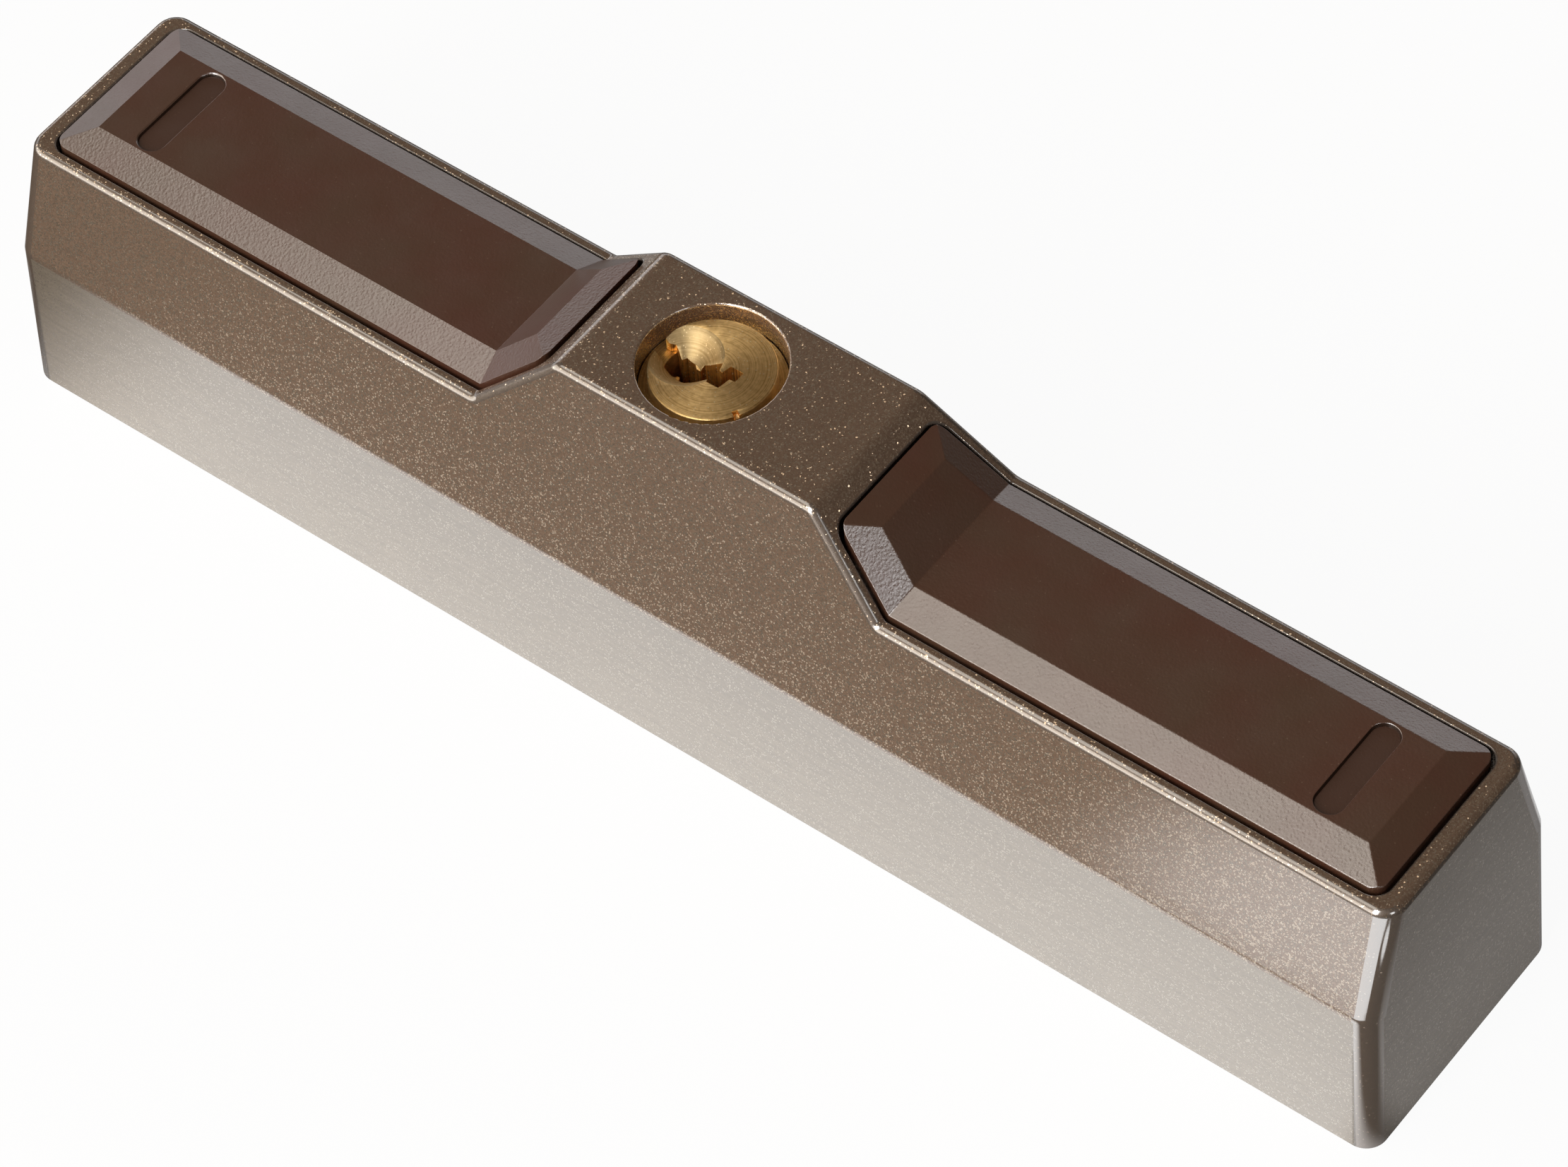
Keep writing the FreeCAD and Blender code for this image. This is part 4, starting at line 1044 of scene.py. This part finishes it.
@dataclass
class KeyPlug:
    """Brass plug with its turned face, its lead-in dish and its keyway."""

    frame: dict
    face_drop: float = 0.03 * MM
    dish_radius: float = 4.2 * MM
    dish_depth: float = 3.0 * MM
    dish_up: Pair = (0.5, 0.9)
    bore_radius: float = 5.75 * MM
    bore_depth: float = 20.0 * MM
    bore_start: float = 0.1 * MM
    bore_up: float = 0.2
    notch_depth: float = 0.5 * MM
    lip_round: float = 0.09 * MM
    lip_fold: float = 30.0
    crease: float = 30.0

    def reach(self, point: Vector, centre: RingCentre) -> float:
        """Measure in metres how far a point lies from an upright axis."""
        x, y = centre.value
        return math.hypot(point.x - x * MM, point.y - y * MM)

    def is_dish(self, face: Face, top: float) -> bool:
        """Tell whether a face belongs to the conical lead-in dish.

        Args:
            face: Face to test.
            top: Height of the plug's face.

        Returns:
            True for a leaning face close to the dish's axis.
        """
        middle = face.calc_center_median()
        near = self.reach(middle, RingCentre.DISH) < self.dish_radius
        sunk = top - self.dish_depth < middle.z < top - self.face_drop
        least, most = self.dish_up
        return near and sunk and least < face.normal.z < most

    def is_bore(self, face: Face, top: float) -> bool:
        """Tell whether a face is a wall of the keyway or of the index notch.

        Args:
            face: Face to test.
            top: Height of the plug's face.

        Returns:
            True for an upright face within the plug, or close under its face.
        """
        middle = face.calc_center_median()
        inner = self.reach(middle, RingCentre.PLUG) < self.bore_radius
        within = inner or middle.z > top - self.notch_depth
        upper = top - self.bore_depth < middle.z < top - self.bore_start
        return upper and within and abs(face.normal.z) < self.bore_up

    def plug_part(self, face: Face, top: float) -> PlugPart:
        """Tell which part of the plug a face belongs to.

        Args:
            face: Face to test.
            top: Height of the plug's face.

        Returns:
            The part.
        """
        if self.is_bore(face, top):
            return PlugPart.BORE
        return PlugPart.DISH if self.is_dish(face, top) else PlugPart.FACE

    def is_lip(self, edge: Edge) -> bool:
        """Tell whether an edge runs round the mouth of the keyway.

        Args:
            edge: Edge to test.

        Returns:
            True for a folded edge between a bore wall and another part.
        """
        if len(edge.link_faces) != 2:
            return False
        bores = [face.material_index == PlugPart.BORE.value for face in edge.link_faces]
        upward = min(face.normal.z for face in edge.link_faces) > -self.bore_up
        return bores[0] != bores[1] and upward and fold(edge) > self.lip_fold

    def build(self) -> bpy.types.Object:
        """Make the plug.

        Returns:
            The plug.
        """
        bm = merged_copy(self.frame["nodes"]["cylinder_plug"])
        _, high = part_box("cylinder_plug")
        for face in bm.faces:
            face.material_index = self.plug_part(face, high.z).value
        lips = [edge for edge in bm.edges if self.is_lip(edge)]
        LOG.info("keyway lips: %d edges", len(lips))
        soften(bm, lips, self.lip_round, 1)
        return finished(bm, "turned_plug", self.crease)

    def dress(self, brasses: dict[PlugPart, Material]) -> list[bpy.types.Object]:
        """Build the plug and give it its finishes.

        Args:
            brasses: Brass of each part.

        Returns:
            The piece.
        """
        plug = self.build()
        rows = [brasses[part] for part in PlugPart]
        stand_in(plug, Body.PLUG, "cylinder_plug", rows)
        return [plug]


@dataclass
class WorkingParts:
    """Pieces that are used as the frame gives them, each with the finish of its slot."""

    frame: dict

    def dress(self, finishes: dict[str, Material]) -> list[bpy.types.Object]:
        """Give every node of the frame the finish of its slot.

        Args:
            finishes: Material for each slot.

        Returns:
            The nodes.
        """
        slots = {row["node"]: row["material_slot"] for row in self.frame["record"]["subparts"]}
        for name, node in self.frame["nodes"].items():
            node.data.materials.clear()
            node.data.materials.append(finishes[slots[name]])
        return list(self.frame["nodes"].values())


# Studio


@dataclass(frozen=True)
class SoftBox:
    """One rectangular lamp that faces the lock."""

    name: str
    place: Colour
    width: float
    height: float
    power: float
    tint: Colour = (1.0, 1.0, 1.0)
    aim: Colour = (0.0, 0.0, 0.02)

    def build(self) -> None:
        """Make the lamp."""
        lamp = bpy.data.lights.new(self.name, "AREA")
        lamp.shape = "RECTANGLE"
        lamp.size, lamp.size_y = self.width, self.height
        lamp.energy = self.power
        lamp.color = self.tint
        holder = bpy.data.objects.new(self.name, lamp)
        bpy.context.scene.collection.objects.link(holder)
        holder.location = self.place
        towards = Vector(self.aim) - Vector(self.place)
        holder.rotation_euler = towards.to_track_quat("-Z", "Y").to_euler()


@dataclass(frozen=True)
class Studio:
    """Floor, surroundings and lamps."""

    floor_half: float = 4.0
    floor_drop: float = 0.05 * MM
    pale: float = 0.90
    dark: float = 0.07
    pale_tint: Colour = (1.0, 0.98, 0.99)
    dark_tint: Colour = (1.0, 0.70, 0.50)
    horizon: float = 0.30
    ceiling: float = 0.42
    left: float = -0.15
    right: float = 0.25
    lamps: tuple[SoftBox, ...] = (
        SoftBox("overhead_box", (-0.36, -0.24, 1.01), 0.60, 0.42, 1.40, (1.0, 0.93, 0.83)),
        SoftBox("right_box", (0.96, -0.27, 0.58), 0.30, 0.30, 1.2),
        SoftBox("key_box", (0.03, -0.95, 0.78), 0.40, 1.0, 10.0),
        SoftBox("front_box", (-0.70, -0.98, 0.46), 1.9, 0.86, 11.0, (1.0, 0.89, 0.75)),
    )

    def build_floor(self) -> None:
        """Make the floor just under the lock."""
        bm = bmesh.new()
        bmesh.ops.create_grid(bm, x_segments=1, y_segments=1, size=self.floor_half)
        bmesh.ops.translate(bm, verts=bm.verts, vec=(0.0, 0.0, -self.floor_drop))
        mesh = bpy.data.meshes.new("studio_floor")
        bm.to_mesh(mesh)
        bm.free()
        floor = bpy.data.objects.new("studio_floor", mesh)
        bpy.context.scene.collection.objects.link(floor)
        mesh.materials.append(PaleFloor().build())

    def build_surroundings(self) -> None:
        """Make a world that is pale low on the left and dark elsewhere, and white to the eye."""
        world = bpy.data.worlds.new("studio")
        world.use_nodes = True
        graph = NodeTree(world.node_tree)
        split = graph.add("ShaderNodeSeparateXYZ")
        graph.join(graph.add("ShaderNodeTexCoord").outputs["Generated"], split.inputs[0])
        low = graph.step(split.outputs["Z"], self.ceiling, self.horizon)
        leftward = graph.step(split.outputs["X"], self.right, self.left)
        band = graph.maths("MULTIPLY", low, leftward)
        seen = graph.add("ShaderNodeLightPath").outputs["Is Camera Ray"]
        sky = graph.tree.nodes["Background"]
        graph.join(graph.greatest(graph.spread(band, self.dark, self.pale), seen), sky.inputs["Strength"])
        tint = graph.blend(graph.greatest(band, seen), self.dark_tint, self.pale_tint)
        graph.join(tint, sky.inputs["Color"])
        bpy.context.scene.world = world

    def build(self) -> None:
        """Make the floor, the surroundings and the lamps."""
        self.build_floor()
        self.build_surroundings()
        for lamp in self.lamps:
            lamp.build()


@dataclass(frozen=True)
class Viewpoint:
    """Camera at the photograph's angle."""

    place: Colour = (243.43 * MM, -276.98 * MM, 479.34 * MM)
    aim: Colour = (7.786 * MM, -4.907 * MM, 20.0 * MM)
    roll: float = 4.634
    lens: float = 145.37
    sensor: float = 36.0
    nearest: float = 10.0 * MM
    farthest: float = 20.0

    def build(self) -> None:
        """Make the camera and use it for the scene."""
        data = bpy.data.cameras.new("viewpoint")
        data.lens = self.lens
        data.sensor_width = self.sensor
        data.clip_start = self.nearest
        data.clip_end = self.farthest
        camera = bpy.data.objects.new("viewpoint", data)
        bpy.context.scene.collection.objects.link(camera)
        towards = Vector(self.aim) - Vector(self.place)
        level = towards.to_track_quat("-Z", "Y").to_matrix()
        turn = Matrix.Rotation(math.radians(-self.roll), 3, "Z")
        camera.matrix_world = Matrix.Translation(Vector(self.place)) @ (level @ turn).to_4x4()
        bpy.context.scene.camera = camera


# Choice of finishes


def slot_finishes() -> dict[str, Material]:
    """Make one material for each slot.

    Returns:
        The materials by slot.
    """
    # the shell's brass is a darker copy of the plug's: painted shade in the recess round the plug
    shell = TurnedBrass("brass_shell_painted_shade", RingCentre.PLUG, (0.85, 0.60, 0.26), (0.58, 0.39, 0.15))
    bolt = WorkedSteel("ground_steel", (0.68, 0.68, 0.68), (0.50, 0.50, 0.51), (1.0, 0.06, 1.0), 0.26)
    finishes = {
        "case_coat": FlakeCoat(),
        "cover_plastic": LeatherGrainPlastic(),
        "cylinder_brass": shell,
        "pin_brass": TurnedBrass("turned_brass_pins", RingCentre.PLUG, ring=0.3 * MM),
        "plate_zinc": WorkedSteel("zinc_sheet", (0.62, 0.62, 0.60), (0.45, 0.46, 0.46)),
        "drive_steel": WorkedSteel("blanked_steel", (0.56, 0.56, 0.57), (0.38, 0.38, 0.39)),
        "bolt_steel": bolt,
        "screw_steel": WorkedSteel("zinc_screws", (0.60, 0.60, 0.58), (0.42, 0.42, 0.42)),
        "spring_steel": WorkedSteel("spring_wire", (0.55, 0.55, 0.56), (0.40, 0.40, 0.41)),
    }
    return {slot: finish.build() for slot, finish in finishes.items()}


def casting_coats(facet: Material) -> dict[CoatPart, Material]:
    """Make the coats of the casting's parts, with a painted sheen on the walls and painted shade in the
    pockets.

    Args:
        facet: Coat of the leaning facets and the tops, the slot's own.

    Returns:
        The coats by part.
    """
    rim = FlakeCoat(
        "bronze_rim_coat", (0.150, 0.118, 0.095), (0.215, 0.172, 0.140), lean=0.08, glint_lean=0.30,
        glint_share=0.07, peel_rise=0.006 * MM, gloss=2.5,
    )
    # walls: a lighter copy of the coat, with streaks, as painted sheen for the floor they reflect
    wall = FlakeCoat(
        "bronze_wall_painted_sheen", (0.40, 0.335, 0.255), (0.47, 0.40, 0.31), (0.48, 0.41, 0.32),
        (0.54, 0.47, 0.38), lean=0.10, glint_lean=0.24, glint_share=0.08, peel_rise=0.020 * MM,
        streak_share=0.40,
    )
    # pocket walls: near-black painted shade in the gap round the covers
    pocket = FlakeCoat(
        "pocket_painted_shade", (0.020, 0.014, 0.010), (0.030, 0.021, 0.015), glint_share=0.0, gloss=1.3
    )
    corner = FlakeCoat(
        "bronze_corner_coat", lean=0.06, glint_share=0.03, peel_rise=0.004 * MM, gloss=8.0, haze=0.08
    )
    return {
        CoatPart.FACET: facet, CoatPart.RIM: rim.build(), CoatPart.WALL: wall.build(),
        CoatPart.POCKET: pocket.build(), CoatPart.CORNER: corner.build(),
    }


def cover_plastics(body: Material) -> dict[CoverPart, Material]:
    """Make the plastics of the covers' parts, the field's walls near-black as painted shade.

    Args:
        body: Plastic of the cover itself, the slot's own.

    Returns:
        The plastics by part.
    """
    field = LeatherGrainPlastic(
        "brown_oval_field", (0.056, 0.0200, 0.0100), (0.060, 0.0240, 0.0125), grain_rise=0.008 * MM
    )
    # near-black plastic for the field's walls: painted shade in the recess
    painted_shade_field_wall = LeatherGrainPlastic(
        "oval_walls_painted_shade", (0.020, 0.0100, 0.0060), (0.024, 0.0120, 0.0075), gloss=1.3
    )
    return {
        CoverPart.BODY: body, CoverPart.FIELD: field.build(), CoverPart.FIELD_WALL: painted_shade_field_wall.build(),
    }


def plug_brasses() -> dict[PlugPart, Material]:
    """Make the brasses of the plug's parts, the dish's darker as painted shade and the keyway's redder and
    darker as painted glow and shade.

    Returns:
        The brasses by part.
    """
    face = TurnedBrass("turned_brass_face", RingCentre.PLUG, roughness=0.46, spread=0.50)
    # the dish's brass is a darker copy of the face's: painted shade that dims the lamp's highlight in the
    # dish
    dish = TurnedBrass(
        "turned_brass_dish_painted_shade", RingCentre.DISH, (0.68, 0.52, 0.28), (0.52, 0.37, 0.17),
        roughness=0.60, spread=0.45,
    )
    # the keyway's brass is redder and darker than the face's: painted glow and shade inside the keyway
    bore = TurnedBrass(
        "keyway_brass_painted_glow_and_shade", RingCentre.PLUG, (0.86, 0.40, 0.08), (0.36, 0.14, 0.025),
        roughness=0.32, spread=0.0, metal=0.8,
    )
    return {PlugPart.FACE: face.build(), PlugPart.DISH: dish.build(), PlugPart.BORE: bore.build()}


def main() -> None:
    """Build the lock's looks, the studio and the camera."""
    logging.basicConfig(level=logging.INFO, format="%(message)s")
    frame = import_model()
    finishes = slot_finishes()
    pieces = WorkingParts(frame).dress(finishes)
    pieces += Casting(frame).dress(casting_coats(finishes["case_coat"]))
    pieces += ScrewCovers(frame).dress(cover_plastics(finishes["cover_plastic"]))
    pieces += KeyPlug(frame).dress(plug_brasses())
    for piece in pieces:
        LOG.info("%s: %d faces", piece.name, len(piece.data.polygons))
    Studio().build()
    Viewpoint().build()
    bpy.context.scene.view_settings.view_transform = "Standard"
    bpy.context.view_layer.update()


if __name__ == "__main__":
    main()
